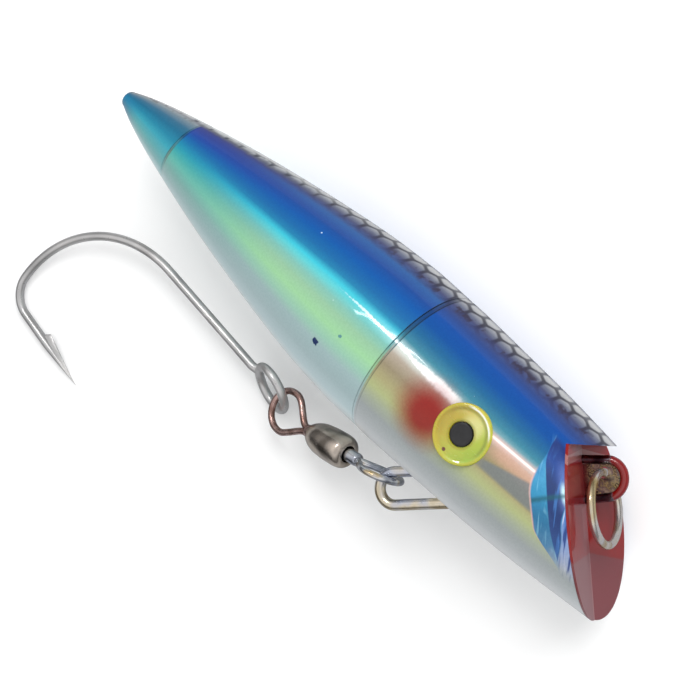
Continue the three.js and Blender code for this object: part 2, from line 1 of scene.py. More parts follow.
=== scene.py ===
"""Looks of the topwater popper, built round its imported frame.

Lengths are in millimetres until a mesh is made. The lure lies along +X with its back
towards +Y and its right flank up (+Z); "station" is the distance from the tail tip.
"""
import math

import bmesh
import bpy
from mathutils import Matrix, Vector


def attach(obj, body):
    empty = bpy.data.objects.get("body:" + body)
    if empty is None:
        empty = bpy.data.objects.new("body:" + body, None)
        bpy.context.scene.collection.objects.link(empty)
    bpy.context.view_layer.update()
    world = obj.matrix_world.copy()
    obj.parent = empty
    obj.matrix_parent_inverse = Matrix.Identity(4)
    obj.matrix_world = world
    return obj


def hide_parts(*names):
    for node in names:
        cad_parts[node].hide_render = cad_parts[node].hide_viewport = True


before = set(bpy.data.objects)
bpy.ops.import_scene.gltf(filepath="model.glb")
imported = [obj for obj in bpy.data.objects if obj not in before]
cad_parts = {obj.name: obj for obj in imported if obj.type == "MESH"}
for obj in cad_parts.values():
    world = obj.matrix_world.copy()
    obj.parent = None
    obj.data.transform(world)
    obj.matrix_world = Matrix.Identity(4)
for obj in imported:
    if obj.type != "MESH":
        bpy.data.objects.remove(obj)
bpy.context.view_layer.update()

MM = 0.001
ORIGIN_STATION = 85.0
AXIS_HEIGHT = 16.736

# Outline of the body as (station, radius): a round tip, the tail and the head.
BODY_RADIUS = 16.8
TIP_LENGTH = 1.2
TIP_RADIUS = 1.9
TAIL_STATIONS = [
    (TIP_LENGTH, TIP_RADIUS), (5, 3.4), (12, 5.5), (24, 8.4), (38, 11.3), (54, 14.0),
    (68, 15.9), (80, BODY_RADIUS),
]
HEAD_STATIONS = [(93, BODY_RADIUS), (102, 16.5), (118, 15.85), (134, 14.6), (152, 12.6)]
WALL = 1.6
TAIL_SEAM = 20.4
TAIL_SEAM_HALF = 0.27
MID_SEAM = 89.4
MID_SEAM_HALF = 0.47

# Mouth and brow, as (station, height over the axis) in the lure's middle plane.
GROOVE = (127.1, 10.0)
FOLD = math.tan(math.radians(8))
BROW_TIP = (131.3, 14.75)
BROW_SLOPE = math.radians(36.5)
PLATE = 0.5

# The wire loops and the line ring, in the same plane.
NOSE_LOOP_AT = (134.4, 9.3)
HANGER_AT = (101.7, -21.45)
LINE_RING_AT = (132.9, 9.6)
LINE_RING_RADIUS = 6.95
LINE_RING_WIRE = 0.85
STAPLE_SLOPE = math.radians(43)

ARC_PER_DEGREE = BODY_RADIUS * math.pi / 180


# ---- meshes ---------------------------------------------------------------------

def face_outwards(mesh):
    """Turns the faces of each closed surface in a mesh to point out of it."""
    surface = bmesh.new()
    surface.from_mesh(mesh)
    bmesh.ops.recalc_face_normals(surface, faces=surface.faces)
    surface.to_mesh(mesh)
    surface.free()


def add_object(name, data):
    """A new object in the scene."""
    obj = bpy.data.objects.new(name, data)
    bpy.context.scene.collection.objects.link(obj)
    return obj


def make(name, shape, material, body, replaces=(), sharp=38):
    """A piece from (vertices in mm, faces), smooth except where it turns sharply."""
    verts, faces = shape
    mesh = bpy.data.meshes.new(name)
    mesh.from_pydata([Vector(v) * MM for v in verts], [], faces)
    mesh.validate()
    face_outwards(mesh)
    mesh.shade_smooth()
    mesh.set_sharp_from_angle(angle=math.radians(sharp))
    mesh.materials.append(material)
    obj = add_object(name, mesh)
    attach(obj, body)
    if replaces:
        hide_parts(*replaces)
    return obj


def band(first, second, count):
    """Quads between two rings of vertex numbers that start at first and second."""
    return [
        (first + k, first + (k + 1) % count, second + (k + 1) % count, second + k)
        for k in range(count)
    ]


def rings(loops, wrap=False):
    """Vertices and quads through equally long closed loops; wrap joins the last to the first."""
    count = len(loops[0])
    verts = [p for loop in loops for p in loop]
    faces = []
    for i in range(len(loops) - (0 if wrap else 1)):
        faces += band(i * count, (i + 1) % len(loops) * count, count)
    return verts, faces


def capped(loops):
    """A tube of loops closed by a polygon at each end."""
    verts, faces = rings(loops)
    count = len(loops[0])
    faces.append(tuple(reversed(range(count))))
    faces.append(tuple(range(len(verts) - count, len(verts))))
    return verts, faces


def merge(*parts):
    """Several (verts, faces) as one."""
    verts, faces = [], []
    for v, f in parts:
        faces += [tuple(i + len(verts) for i in face) for face in f]
        verts += v
    return verts, faces


def spun(profile, origin, axis, across, sides, closed=False):
    """Revolves (distance, radius) pairs about an axis."""
    third = axis.cross(across)
    loops = []
    for along, radius in profile:
        centre = origin + axis * along
        loops.append([
            centre + (across * math.cos(t) + third * math.sin(t)) * radius
            for t in (2 * math.pi * k / sides for k in range(sides))
        ])
    return rings(loops, wrap=True) if closed else capped(loops)


def swept(points, radii, normal, sides, closed=False):
    """A round wire along a flat path; radii is one number or one for each point."""
    count = len(points)
    loops = []
    for i, p in enumerate(points):
        before = points[i - 1] if closed or i else p
        after = points[(i + 1) % count] if closed or i < count - 1 else p
        side = (after - before).normalized().cross(normal).normalized()
        radius = radii[i] if isinstance(radii, list) else radii
        loops.append([
            p + (side * math.cos(t) + normal * math.sin(t)) * radius
            for t in (2 * math.pi * k / sides for k in range(sides))
        ])
    return rings(loops, wrap=True) if closed else capped(loops)


def catmull(points, steps):
    """Points along a smooth curve through the given ones."""
    out = []
    for i in range(len(points) - 1):
        p0 = points[max(i - 1, 0)]
        p1, p2 = points[i], points[i + 1]
        p3 = points[min(i + 2, len(points) - 1)]
        for k in range(steps):
            t = k / steps
            out.append(0.5 * (
                2 * p1 + (p2 - p0) * t + (2 * p0 - 5 * p1 + 4 * p2 - p3) * t * t
                + (3 * p1 - p0 - 3 * p2 + p3) * t ** 3
            ))
    return out + [points[-1]]


def arc(centre, u, v, radius, start, end, steps):
    """Points along an arc in the plane of u and v, from one angle to another."""
    return [
        centre + (u * math.cos(t) + v * math.sin(t)) * radius
        for t in (start + (end - start) * i / steps for i in range(steps + 1))
    ]


# ---- body shape -----------------------------------------------------------------

def spline_radius(stations, x):
    """Radius at x along a smooth curve through the stations."""
    curve = catmull([Vector(p) for p in stations], 24)
    a, b = next(pair for pair in zip(curve, curve[1:]) if pair[1].x >= x)
    return a.y + (b.y - a.y) * (x - a.x) / (b.x - a.x)


def body_radius(x):
    """Outer radius of the body at a station."""
    if x < TIP_LENGTH:
        return TIP_RADIUS * math.sqrt(max(0.0, 1 - ((TIP_LENGTH - x) / TIP_LENGTH) ** 2))
    if x <= TAIL_STATIONS[-1][0]:
        return spline_radius(TAIL_STATIONS, x)
    return BODY_RADIUS if x < HEAD_STATIONS[0][0] else spline_radius(HEAD_STATIONS, x)


def lure_point(station, angle, radius):
    """A point of the body; angle runs from the back (0) over the right flank to the belly (pi)."""
    return Vector((
        station - ORIGIN_STATION,
        radius * math.cos(angle),
        AXIS_HEIGHT + radius * math.sin(angle),
    ))


def middle_point(place):
    """A (station, height over the axis) pair as a point of the lure's middle plane."""
    return Vector((place[0] - ORIGIN_STATION, place[1], AXIS_HEIGHT))


def facet_excess(station, up, lateral):
    """How far a point is beyond the mouth facets, square to the slant."""
    slant = (station - GROOVE[0] + up - GROOVE[1]) / math.sqrt(2)
    return slant - FOLD * abs(lateral)


def brow_excess(station, up):
    """How far a point is below the brow's flat underside."""
    return (
        (station - BROW_TIP[0]) * math.sin(BROW_SLOPE)
        - (up - BROW_TIP[1]) * math.cos(BROW_SLOPE)
    )


HALVINGS = 26


def last_station(angle, test):
    """The station at which a line along the body's outside first meets the test."""
    low = 95.0
    high = HEAD_STATIONS[-1][0]
    for _ in range(HALVINGS):
        middle = (low + high) / 2
        r = body_radius(middle)
        if test(middle, r * math.cos(angle), r * math.sin(angle)):
            high = middle
        else:
            low = middle
    return low


def mouth_station(angle, depth):
    """Where the outside of the body meets the mouth, or a face parallel to it at a depth."""
    return last_station(angle, lambda s, up, out: facet_excess(s, up, out) > -depth)


def brow_station(angle):
    """Where the outside of the body meets the brow's underside."""
    return last_station(angle, lambda s, up, out: brow_excess(s, up) > 0)


def brow_corner(depth):
    """The angle at which brow and mouth meet on the outside of the body."""
    low = math.radians(10)
    high = math.radians(80)
    for _ in range(HALVINGS):
        middle = (low + high) / 2
        if brow_station(middle) > mouth_station(middle, depth):
            low = middle
        else:
            high = middle
    return low


# ---- shader graphs --------------------------------------------------------------

def srgb(text):
    """Linear colour from a hex triplet."""
    parts = [int(text[i:i + 2], 16) / 255 for i in (0, 2, 4)]
    return tuple(
        c / 12.92 if c <= 0.04045 else ((c + 0.055) / 1.055) ** 2.4 for c in parts
    ) + (1.0,)


class Val:
    """A shader socket that can be used in arithmetic."""

    def __init__(self, graph, socket):
        self.graph = graph
        self.socket = socket

    def __add__(self, other):
        return self.graph.math("ADD", self, other)

    def __radd__(self, other):
        return self.graph.math("ADD", other, self)

    def __sub__(self, other):
        return self.graph.math("SUBTRACT", self, other)

    def __rsub__(self, other):
        return self.graph.math("SUBTRACT", other, self)

    def __mul__(self, other):
        return self.graph.math("MULTIPLY", self, other)

    def __truediv__(self, other):
        return self.graph.math("DIVIDE", self, other)

    def __abs__(self):
        return self.graph.math("ABSOLUTE", self)

    def fract(self):
        """What is left over a whole number."""
        return self.graph.math("FRACT", self)

    def rise(self, low, high):
        """0 below low, 1 above high, smooth between; high may be the smaller."""
        node = self.graph.node("ShaderNodeMapRange", interpolation_type="SMOOTHSTEP")
        flip = low > high
        self.graph.plug(self, node.inputs[0])
        node.inputs[1].default_value = min(low, high)
        node.inputs[2].default_value = max(low, high)
        node.inputs[3].default_value = 1.0 if flip else 0.0
        node.inputs[4].default_value = 0.0 if flip else 1.0
        return Val(self.graph, node.outputs[0])

    def hump(self, centre, width):
        """1 at centre, fading to 0 at width either side."""
        return abs(self - centre).rise(width, 0.0)


class Graph:
    """One material and the few nodes this script needs."""

    def __init__(self, name):
        self.material = bpy.data.materials.new(name)
        self.material.use_nodes = True
        self.tree = self.material.node_tree
        self.tree.nodes.clear()
        coord = self.node("ShaderNodeTexCoord")
        place = self.node("ShaderNodeVectorMath", operation="SCALE")
        self.tree.links.new(coord.outputs["Object"], place.inputs[0])
        place.inputs["Scale"].default_value = 1 / MM
        self.place = place.outputs[0]
        split = self.node("ShaderNodeSeparateXYZ")
        self.tree.links.new(self.place, split.inputs[0])
        self.x, self.y, self.z = (Val(self, o) for o in split.outputs)

    def node(self, kind, **settings):
        """A new node with these properties set."""
        node = self.tree.nodes.new(kind)
        for key, value in settings.items():
            setattr(node, key, value)
        return node

    def plug(self, value, socket):
        """Feeds a socket with a value, a hex colour or a number."""
        if isinstance(value, Val):
            self.tree.links.new(value.socket, socket)
        elif isinstance(value, str):
            socket.default_value = srgb(value)
        else:
            socket.default_value = value

    def math(self, operation, *values):
        """One math node."""
        node = self.node("ShaderNodeMath", operation=operation)
        for value, socket in zip(values, node.inputs):
            self.plug(value, socket)
        return Val(self, node.outputs[0])

    def length(self, *values):
        """Distance from the point where all the values are 0."""
        total = values[0] * values[0]
        for v in values[1:]:
            total = total + v * v
        return self.math("SQRT", total)

    def either(self, a, b):
        """The larger of two values."""
        return self.math("MAXIMUM", a, b)

    def mix(self, factor, a, b, blend="MIX"):
        """Colour a at factor 0 and b at factor 1."""
        node = self.node("ShaderNodeMix", data_type="RGBA", blend_type=blend)
        self.plug(factor, node.inputs[0])
        self.plug(a, node.inputs[6])
        self.plug(b, node.inputs[7])
        return Val(self, node.outputs[2])

    def ramp(self, value, stops):
        """Colour along stops of (position, hex colour); positions may be in any unit."""
        low = stops[0][0]
        high = stops[-1][0]
        node = self.node("ShaderNodeValToRGB")
        elements = node.color_ramp.elements
        while len(elements) < len(stops):
            elements.new(0.5)
        for element, (at, colour) in zip(elements, stops):
            element.position = (at - low) / (high - low)
            element.color = srgb(colour)
        self.plug((value - low) / (high - low), node.inputs[0])
        return Val(self, node.outputs[0])

    def noise(self, size, stretch=(1, 1, 1), detail=3.0, shift=0.0):
        """Fractal noise about 0.5 whose grains are about size mm, longer along stretch."""
        scaled = self.node("ShaderNodeVectorMath", operation="MULTIPLY")
        self.tree.links.new(self.place, scaled.inputs[0])
        scaled.inputs[1].default_value = [1 / (size * k) for k in stretch]
        node = self.node("ShaderNodeTexNoise", noise_dimensions="4D")
        self.tree.links.new(scaled.outputs[0], node.inputs["Vector"])
        node.inputs["W"].default_value = shift
        node.inputs["Scale"].default_value = 1.0
        node.inputs["Detail"].default_value = detail
        node.inputs["Roughness"].default_value = 0.55
        return Val(self, node.outputs[0])

    def streaks(self, across, along, width, length, shift=0.0):
        """Fractal noise about 0.5, drawn out along one of two given coordinates."""
        join = self.node("ShaderNodeCombineXYZ")
        self.plug(across / width, join.inputs[0])
        self.plug(along / length, join.inputs[1])
        node = self.node("ShaderNodeTexNoise", noise_dimensions="4D")
        self.tree.links.new(join.outputs[0], node.inputs["Vector"])
        node.inputs["W"].default_value = shift
        node.inputs["Scale"].default_value = 1.0
        return Val(self, node.outputs[0])

    def specks(self, size, radius, shift=0.0):
        """Round dots about size mm apart."""
        moved = self.node("ShaderNodeVectorMath", operation="ADD")
        self.tree.links.new(self.place, moved.inputs[0])
        moved.inputs[1].default_value = (shift, shift, shift)
        node = self.node("ShaderNodeTexVoronoi")
        self.tree.links.new(moved.outputs[0], node.inputs["Vector"])
        node.inputs["Scale"].default_value = 1 / size
        return Val(self, node.outputs["Distance"]).rise(radius, radius * 0.5)

    def seen_from(self, direction, low, high):
        """1 when looked at from near a direction, 0 from elsewhere, as a reflection is."""
        geometry = self.node("ShaderNodeNewGeometry")
        dot = self.node("ShaderNodeVectorMath", operation="DOT_PRODUCT")
        self.tree.links.new(geometry.outputs["Incoming"], dot.inputs[0])
        dot.inputs[1].default_value = direction
        return Val(self, dot.outputs["Value"]).rise(low, high)

    def bump(self, height, strength, distance):
        """A shading normal from a height; distance is in mm."""
        node = self.node("ShaderNodeBump")
        node.inputs["Strength"].default_value = strength
        node.inputs["Distance"].default_value = distance * MM
        self.plug(height, node.inputs["Height"])
        return Val(self, node.outputs[0])

    def surface(self, **values):
        """A Principled surface; underscores in names stand for spaces."""
        shader = self.node("ShaderNodeBsdfPrincipled")
        for key, value in values.items():
            self.plug(value, shader.inputs[key.replace("_", " ")])
        out = self.node("ShaderNodeOutputMaterial")
        self.tree.links.new(shader.outputs[0], out.inputs[0])
        return self.material


# ---- the painted body -----------------------------------------------------------

# Paint from the back (0 degrees) down the flank to the belly (180), with painted light in places.
# The near-white belly stops in all four lists: pale silver plus painted light from the floor.
TAIL_BANDS = [
    (0, "d2d3d2"), (14, "9a9c9b"), (30, "62747e"), (45, "2f5f7a"), (60, "146080"),
    (76, "0f7894"), (90, "3096a8"), (108, "62a8ac"), (126, "88b4b6"), (142, "c2dcdf"),
    (156, "f2f8f8"), (180, "f6fafa"),
]
AFT_BANDS = [
    (0, "c4c7c7"), (14, "7c7e84"), (24, "1e2a6e"), (36, "15307e"), (46, "183f8c"),
    (54, "0b4f92"), (62, "046294"), (70, "04789a"), (78, "198c9c"), (87, "3c9c9a"),
    (97, "5eaca0"), (111, "7eaca6"), (128, "9cb9ba"), (144, "c4dadc"), (156, "eef6f6"),
    (180, "f4f8f8"),
]
# Its bright cyan stops at 69 and 73 degrees are a painted highlight line, tinted by the foil.
FORE_BANDS = [
    (0, "b3b5b8"), (12, "6a6f7c"), (21, "38436a"), (29, "1e4e88"), (38, "123f84"),
    (48, "004c94"), (58, "005a92"), (64, "04719a"), (69, "2cb2c4"), (73, "50b8bc"),
    (79, "72ada0"), (86, "88b492"), (95, "92c694"), (104, "90bea8"), (112, "9cb5b6"),
    (126, "a4babd"), (140, "b8cdd1"), (154, "e0ecee"), (180, "eef4f4"),
]
HEAD_BANDS = [
    (0, "9f9d9c"), (11, "54576a"), (21, "363e64"), (30, "1b3874"), (38, "08438e"),
    (48, "00458a"), (58, "085882"), (66, "2c7488"), (70, "64929c"), (74, "b4b0a8"),
    (80, "a09484"), (88, "8c8066"), (97, "a09a6e"), (105, "a8b07c"), (113, "a1aa96"),
    (122, "9fa6a7"), (136, "b2b8ba"), (150, "cfd3d5"), (180, "ecefef"),
]


def around_body(g):
    """Station, signed and unsigned angle from the back in degrees."""
    out = g.z - AXIS_HEIGHT
    signed = g.math("ARCTAN2", out, g.y) * (180 / math.pi)
    return g.x + ORIGIN_STATION, signed, abs(signed)


SHEEN_FROM = Vector((0.3, 0.25, 0.92)).normalized()
# Length of a net cell along the body in mm, and the turn between rows in degrees.
NET_PITCH = 4.15
NET_ROW = 17.5


def net_cells(g, station, signed):
    """How near a six-sided net's lines are: 0 at a cell's centre, about 1 on a line."""
    wobble = (g.noise(6.0, shift=3.0) - 0.5) * 0.9
    u = (station + wobble) / NET_PITCH + 0.1
    v = (signed + 1.0) / (2 * NET_ROW) + 0.5
    distances = []
    for offset in (0.0, 0.5):
        du = abs((u + offset).fract() - 0.5)
        dv = abs((v + offset).fract() - 0.5) * math.sqrt(3)
        edge = g.math("MAXIMUM", du, du * 0.5 + dv * (math.sqrt(3) / 2))
        distances.append(edge * 1.25 + g.length(du, dv) * 0.75)
    return g.math("MINIMUM", *distances)


def net_over(g, colour, station, signed, angle):
    """The grey net over the back: dark lines forward, broken dashes aft, smudges on both."""
    cells = net_cells(g, station, signed)
    inside = cells.rise(0.93, 0.68)
    aft = station.rise(70, 22)
    tail = station.rise(26, 14)
    smear = g.noise(2.2, stretch=(1, 1.5, 1.5), detail=2.0, shift=14.0) - 0.5
    pale = g.ramp(angle, [(0, "b0b0b0"), (9, "86888e"), (15, "585e72"), (20, "343a60"),
                          (27, "20407a"), (34, "1c4484")])
    dark = g.ramp(angle, [(0, "58585e"), (9, "2e2e38"), (16, "201f38"), (24, "1b2250"),
                          (34, "1c3070")])
    shifted = angle + smear * 14
    pale_aft = g.ramp(shifted, [(-6, "d2d3d1"), (8, "aaacab"), (16, "7c7f84"), (23, "2c3464"),
                                (34, "1b2a76")])
    dash = (cells + smear * 0.7).rise(0.66, 0.96) * (angle + smear * 10).hump(16, 12)
    shade = (angle + smear * 14).hump(20, 8)
    net = g.mix(inside, dark, pale)
    net = g.mix(aft, net, g.mix(g.either(dash, shade * 0.55), pale_aft, "272b38"))
    reach = angle + smear * 8 - 22 + tail * 5
    colour = g.mix(reach.rise(8, -5), colour, net)
    patches = (smear + 0.5).rise(0.5, 0.6)
    colour = g.mix(patches * (angle + smear * 10).hump(23, 9) * tail * 0.7, colour, "454b48")
    smudge = patches * (angle + smear * 12).hump(21, 9) * station.rise(60, 80)
    return g.mix(smudge * 0.9, colour, "231a34")


def cheek_and_streaks(g, colour, station, angle):
    """The head's sprayed cheek, salmon patch, slate wedge and pink glint line."""
    grain = g.noise(0.5, detail=2.0, shift=8.0) - 0.5
    turn = angle + grain * 3
    olive = station.rise(107, 115) * turn.rise(76, 82) * angle.rise(99, 92)
    colour = g.mix(olive * 0.8, colour, "8a8158")
    salmon = station.rise(114, 121) * turn.rise(74, 77) * turn.rise(90, 80)
    colour = g.mix(salmon * 0.75, colour, "c49a86")
    wedge_top = 91 - (station - 117) * 0.95
    wedge = station.rise(115, 119) * (angle - wedge_top).rise(-1.5, 1.5) * angle.rise(98, 94.5)
    colour = g.mix(wedge * 0.85, colour, "6c7376")
    off_line = angle - 74.2 + (station - 117) * 0.18
    line = off_line.hump(0.0, 1.6) * station.rise(112, 118)
    halo = off_line.hump(0.0, 4.5) * station.rise(111, 117)
    colour = g.mix(halo * 0.6, colour, "dcb0aa")
    colour = g.mix(line, colour, "fff0ea")
    reach = g.length(station - 103.3, (angle - 94.5) * ARC_PER_DEGREE * 0.93)
    cheek = (reach + grain * 0.9).rise(9.0, 2.0)
    return g.mix(cheek * 0.97, colour, "860c06")


def white_glint(g, colour, station, angle):
    """The feathery white highlight along the flank, widest and strongest ahead of the seam."""
    feather = g.noise(1.0, stretch=(1.0, 3.0, 3.0), detail=4.0, shift=5.0) - 0.5
    drift = g.noise(3.0, detail=2.0, shift=2.0) - 0.5
    at = 71.0 + (station - 78).rise(0, 26) * 2.6
    off = abs(angle - at + drift * 1.6)
    width = station.rise(74, 80) * 0.5 + station.rise(92, 102) * 2.6 + 0.7
    core = ((off + abs(feather) * 5.5) / width).rise(1.35, 0.45)
    strength = station.rise(72, 80) * station.rise(108.5, 104.5)
    strength = strength * (station.rise(83, 93) * 0.45 + 0.55)
    strength = strength * g.seen_from(SHEEN_FROM, 0.6, 0.9)
    glow = off.rise(6.5, 0.5) * strength * station.rise(76, 92)
    colour = g.mix(glow * 0.4, colour, "dff0ec")
    return g.mix(core * strength, colour, "ffffff")


def seam_lines(g, colour, station, angle):
    """Dark creases at the two joint rings, strong on the upper flank and faint on the belly."""
    drift = g.noise(5.0, detail=2.0, shift=17.0)
    over_back = angle.rise(4, 16) * angle.rise(84, 66)
    flank = angle.rise(66, 76) * angle.rise(128, 100)
    head_side = over_back * 0.98 + flank * 0.42 + 0.16
    tail_side = angle.rise(40, 60) * angle.rise(126, 100) * 0.75 + 0.12
    for at, half, strength in ((MID_SEAM, 0.45, head_side), (TAIL_SEAM, 0.18, tail_side)):
        off = abs(station - at)
        line = (off - half).hump(0.0, 0.3)
        between = off.rise(half + 0.1, half - 0.1) * 0.5
        dark = g.either(line, between) * strength * (drift * 0.3 + 0.84)
        colour = g.mix(dark, colour, g.ramp(angle, [
            (0, "4a4c50"), (20, "14203c"), (60, "12304a"), (72, "2c6a74"), (90, "5a5a44"),
            (115, "6f7a7c"), (180, "8d9496"),
        ]))
    return colour


def nose_window(g, colour, station, angle):
    """The clear plastic between the film's front edge and the mouth, with painted reflections."""
    lateral = abs(g.z - AXIS_HEIGHT)
    behind = (GROOVE[0] - station + GROOVE[1] - g.y) / math.sqrt(2) + lateral * FOLD
    film_edge = angle.rise(45, 88) * 4.3 + 2.9 - angle.rise(104, 121) * 3.8
    facet_back = angle.rise(34, 64) * 2.1 + 1.8 - angle.rise(94, 120) * 0.8
    facet_front = angle.rise(68, 92) * 1.7 + angle.rise(92, 118) * 1.5 + 0.05
    ray_path = behind - (angle - 72) * 0.065
    # Painted reflections in the clear plastic: pale and dark streaks.
    ray = g.streaks(ray_path, angle, 0.7, 30.0, 16.0) - 0.5
    broad = g.streaks(behind, angle, 2.4, 16.0, 12.0) - 0.5
    strip = g.ramp(angle + broad * 26, [
        (44, "1e5698"), (58, "2270a4"), (70, "3f8fb8"), (82, "2f84ac"), (96, "24688f"),
        (108, "47799e"), (120, "8c9cb0"),
    ])
    clear = g.mix((ray.rise(0.06, 0.16) + broad.rise(0.1, 0.2)) * 0.35, strip, "86c4dc")
    pale = g.ramp(angle + ray * 40, [
        (72, "3e68a4"), (86, "5077b2"), (100, "7f94be"), (122, "a6abb8"),
    ])
    pale = g.mix(ray.rise(-0.01, -0.1) * 0.9, pale, "223a78")
    pale = g.mix(ray.rise(0.08, 0.15) * 0.6, pale, "d6deec")
    front = (facet_front - behind).rise(-0.1, 0.3) * angle.rise(70, 76)
    clear = g.mix(front, clear, pale)
    facet = (behind - facet_front).rise(-0.12, 0.12) * (facet_back - behind).rise(-0.1, 0.12)
    facet = facet * angle.rise(37, 43) * angle.rise(121, 112)
    deep = g.ramp(angle + broad * 16, [
        (38, "1c3478"), (48, "1b2a66"), (60, "1d3a80"), (70, "1c2a60"), (88, "1a2c64"),
        (104, "25447e"), (118, "4a6a9c"),
    ])
    near_mouth = behind.rise(2.4, 0.4) * angle.rise(50, 62) * angle.rise(84, 74)
    deep = g.mix(near_mouth * 0.6, deep, "6478b8")
    deep = g.mix(ray.rise(0.05, 0.16) * angle.rise(48, 60) * 0.6, deep, "3c72b8")
    clear = g.mix(facet * 0.95, clear, deep)
    # A painted glint on the clear plastic.
    glow = g.length(behind - 0.5, (angle - 70) * 0.14).rise(1.1, 0.2)
    clear = g.mix(glow * 0.9, clear, "c4ecf6")
    bar = (angle - 69 - behind * 2.9).hump(0.0, 2.4)
    clear = g.mix(bar * 0.75, clear, "17525e")
    inside = (film_edge - behind).rise(-0.1, 0.15) * angle.rise(40, 46)
    inside = inside * angle.rise(126, 112)
    colour = g.mix(inside, colour, clear)
    edge = (behind - film_edge).hump(0.0, 0.3) * angle.rise(66, 76) * angle.rise(116, 100)
    return g.mix(edge * 0.65, colour, "d8aaa2")


def chips(g, colour, station, angle):
    """Small paint chips and dust specks."""
    ragged = (g.noise(0.7, detail=3.0, shift=20.0) - 0.5) * 1.6
    for at, turn, size, tone in ((75.6, 111.3, 0.85, "1d2f5c"), (79.6, 95.2, 0.5, "54888c")):
        reach = g.length(station - at, (angle - turn) * ARC_PER_DEGREE)
        colour = g.mix((reach + ragged).rise(size, size - 0.25), colour, tone)
    dust = g.specks(6.5, 0.035, 4.0) * angle.rise(30, 40)
    colour = g.mix(dust * 0.6, colour, "24466e")
    light = g.specks(8.0, 0.03, 9.0) * angle.rise(88, 70)
    return g.mix(light * 0.8, colour, "d8ecf4")


def body_material():
    """The whole painted shell: colour bands, then each marking and painted highlight over them."""
    g = Graph("painted_shell")
    station, signed, angle = around_body(g)
    streak = g.noise(1.6, stretch=(14, 1, 1), detail=3.0, shift=1.0) - 0.5
    wave = g.noise(14, stretch=(3, 1, 1), detail=2.0, shift=6.0) - 0.5
    turn = angle + streak * 1.6 + wave * 2.6
    spread = turn + (station - 60) * 0.05
    tail = g.ramp(turn, TAIL_BANDS)
    aft = g.ramp(turn, AFT_BANDS)
    fore = g.ramp(spread - 0.6, FORE_BANDS)
    head = g.ramp(turn, HEAD_BANDS)
    colour = g.mix(station.rise(24, 62), aft, fore)
    colour = g.mix(station.rise(TAIL_SEAM + 0.2, TAIL_SEAM - 0.2), colour, tail)
    tip = station.rise(9, 0.5) * angle.rise(50, 90)
    colour = g.mix(tip * 0.7, colour, "1d6496")
    colour = g.mix(station.rise(MID_SEAM - 0.2, MID_SEAM + 0.2), colour, head)
    colour = white_glint(g, colour, station, angle)
    colour = cheek_and_streaks(g, colour, station, angle)
    colour = nose_window(g, colour, station, angle)
    colour = net_over(g, colour, station, signed, angle)
    colour = chips(g, colour, station, angle)
    colour = seam_lines(g, colour, station, angle)
    grain = g.noise(0.4, detail=2.0, shift=30.0)
    colour = g.mix(0.06, colour, g.mix(grain.rise(0.35, 0.65), "3c4a52", "ffffff"),
                   blend="SOFT_LIGHT")
    micro = g.noise(9.0, stretch=(2, 1, 1), detail=1.0, shift=40.0)
    return g.surface(
        Base_Color=colour, Roughness=0.42, Specular_IOR_Level=0.18, Coat_Weight=0.5,
        Coat_Roughness=0.05, Coat_Normal=g.bump(micro, 0.2, 0.12),
    )


# ---- other materials ------------------------------------------------------------

def lacquer_material():
    """Deep red, milky in the zones where the facets and the brow catch the light."""
    g = Graph("red_lacquer")
    side = g.z - AXIS_HEIGHT
    sheen = g.seen_from(SHEEN_FROM, 0.8, 0.95)
    cloud = g.noise(2.6, detail=3.0, shift=1.0) - 0.5
    height = g.y + cloud * 0.2
    deep = g.ramp(g.y + cloud * 2.0, [(-4, "780a0a"), (0, "820b0a"), (4, "740a0b"), (9, "7e0e0e"),
                                      (12, "881410")])
    shine = side.rise(0.3, 0.6) * side.rise(4.0, 3.2) * height.rise(2.7, 2.4)
    shine = shine * height.rise(-2.2, -1.0)
    deep = g.mix(shine * sheen * 0.6, deep, "8d4a50")
    upper = side.rise(2.6, 3.2) * height.rise(4.4, 4.8) * height.rise(7.4, 7.0)
    deep = g.mix(upper * sheen * 0.45, deep, "8a4543")
    milky = g.mix(side.rise(-0.15, 0.15), "6c2c31", "743b3e")
    milky = g.mix((side - 0.3).hump(0.0, 0.5) * 0.5, milky, "9c6c6c")
    colour = g.mix(height.rise(-3.6, -3.95) * sheen, deep, milky)
    under_brow = height.rise(9.0, 9.15) * height.rise(10.35, 10.2)
    colour = g.mix(under_brow * sheen * 0.85, colour, g.mix(cloud + 0.5, "8c5856", "9d6c69"))
    wave = g.noise(5.0, detail=2.0, shift=4.0)
    return g.surface(
        Base_Color=colour, Roughness=0.35, Specular_IOR_Level=0.3, Coat_Weight=0.6,
        Coat_Roughness=0.06, Coat_Normal=g.bump(wave, 0.25, 0.15),
    )


def metal_material(name, tones, size, rough=0.2, wear=1.0, shine=1.0, dip=None):
    """Bright wire whose tone drifts between patina colours; dip gives its red coat's place."""
    g = Graph(name)
    drift = g.noise(size, stretch=(2, 2, 1), detail=1.5, shift=len(name))
    low = 0.32
    spread = 0.36
    stops = [(low + spread * i / (len(tones) - 1), t) for i, t in enumerate(tones)]
    colour = g.ramp(drift, stops)
    scuff = g.noise(0.5, stretch=(3, 1, 1), detail=3.0, shift=3.0)
    colour = g.mix(scuff.rise(0.58, 0.74) * (0.22 * wear), colour, "4a4744")
    pit = g.specks(1.7, 0.11, 2.0)
    colour = g.mix(pit * (0.3 * wear), colour, "3a322b")
    metallic = shine
    coat = 0.0
    if dip:
        coat = dip(g)
        colour = g.mix(coat, colour, "7a0707")
        metallic = coat * -0.85 + shine
    return g.surface(
        Base_Color=colour, Metallic=metallic, Roughness=scuff * 0.16 + (rough - 0.06),
        Coat_Weight=coat, Coat_Roughness=0.03, Normal=g.bump(scuff, 0.06, 0.03),
    )


EYE_STATION = 111.6
EYE_RISE = math.radians(2.5)
EYE_LEAN = math.radians(2.6)
EYE_RADIUS_OUT = 16.2
EYE_PROUD = 0.12
EYE_UP = 0.7


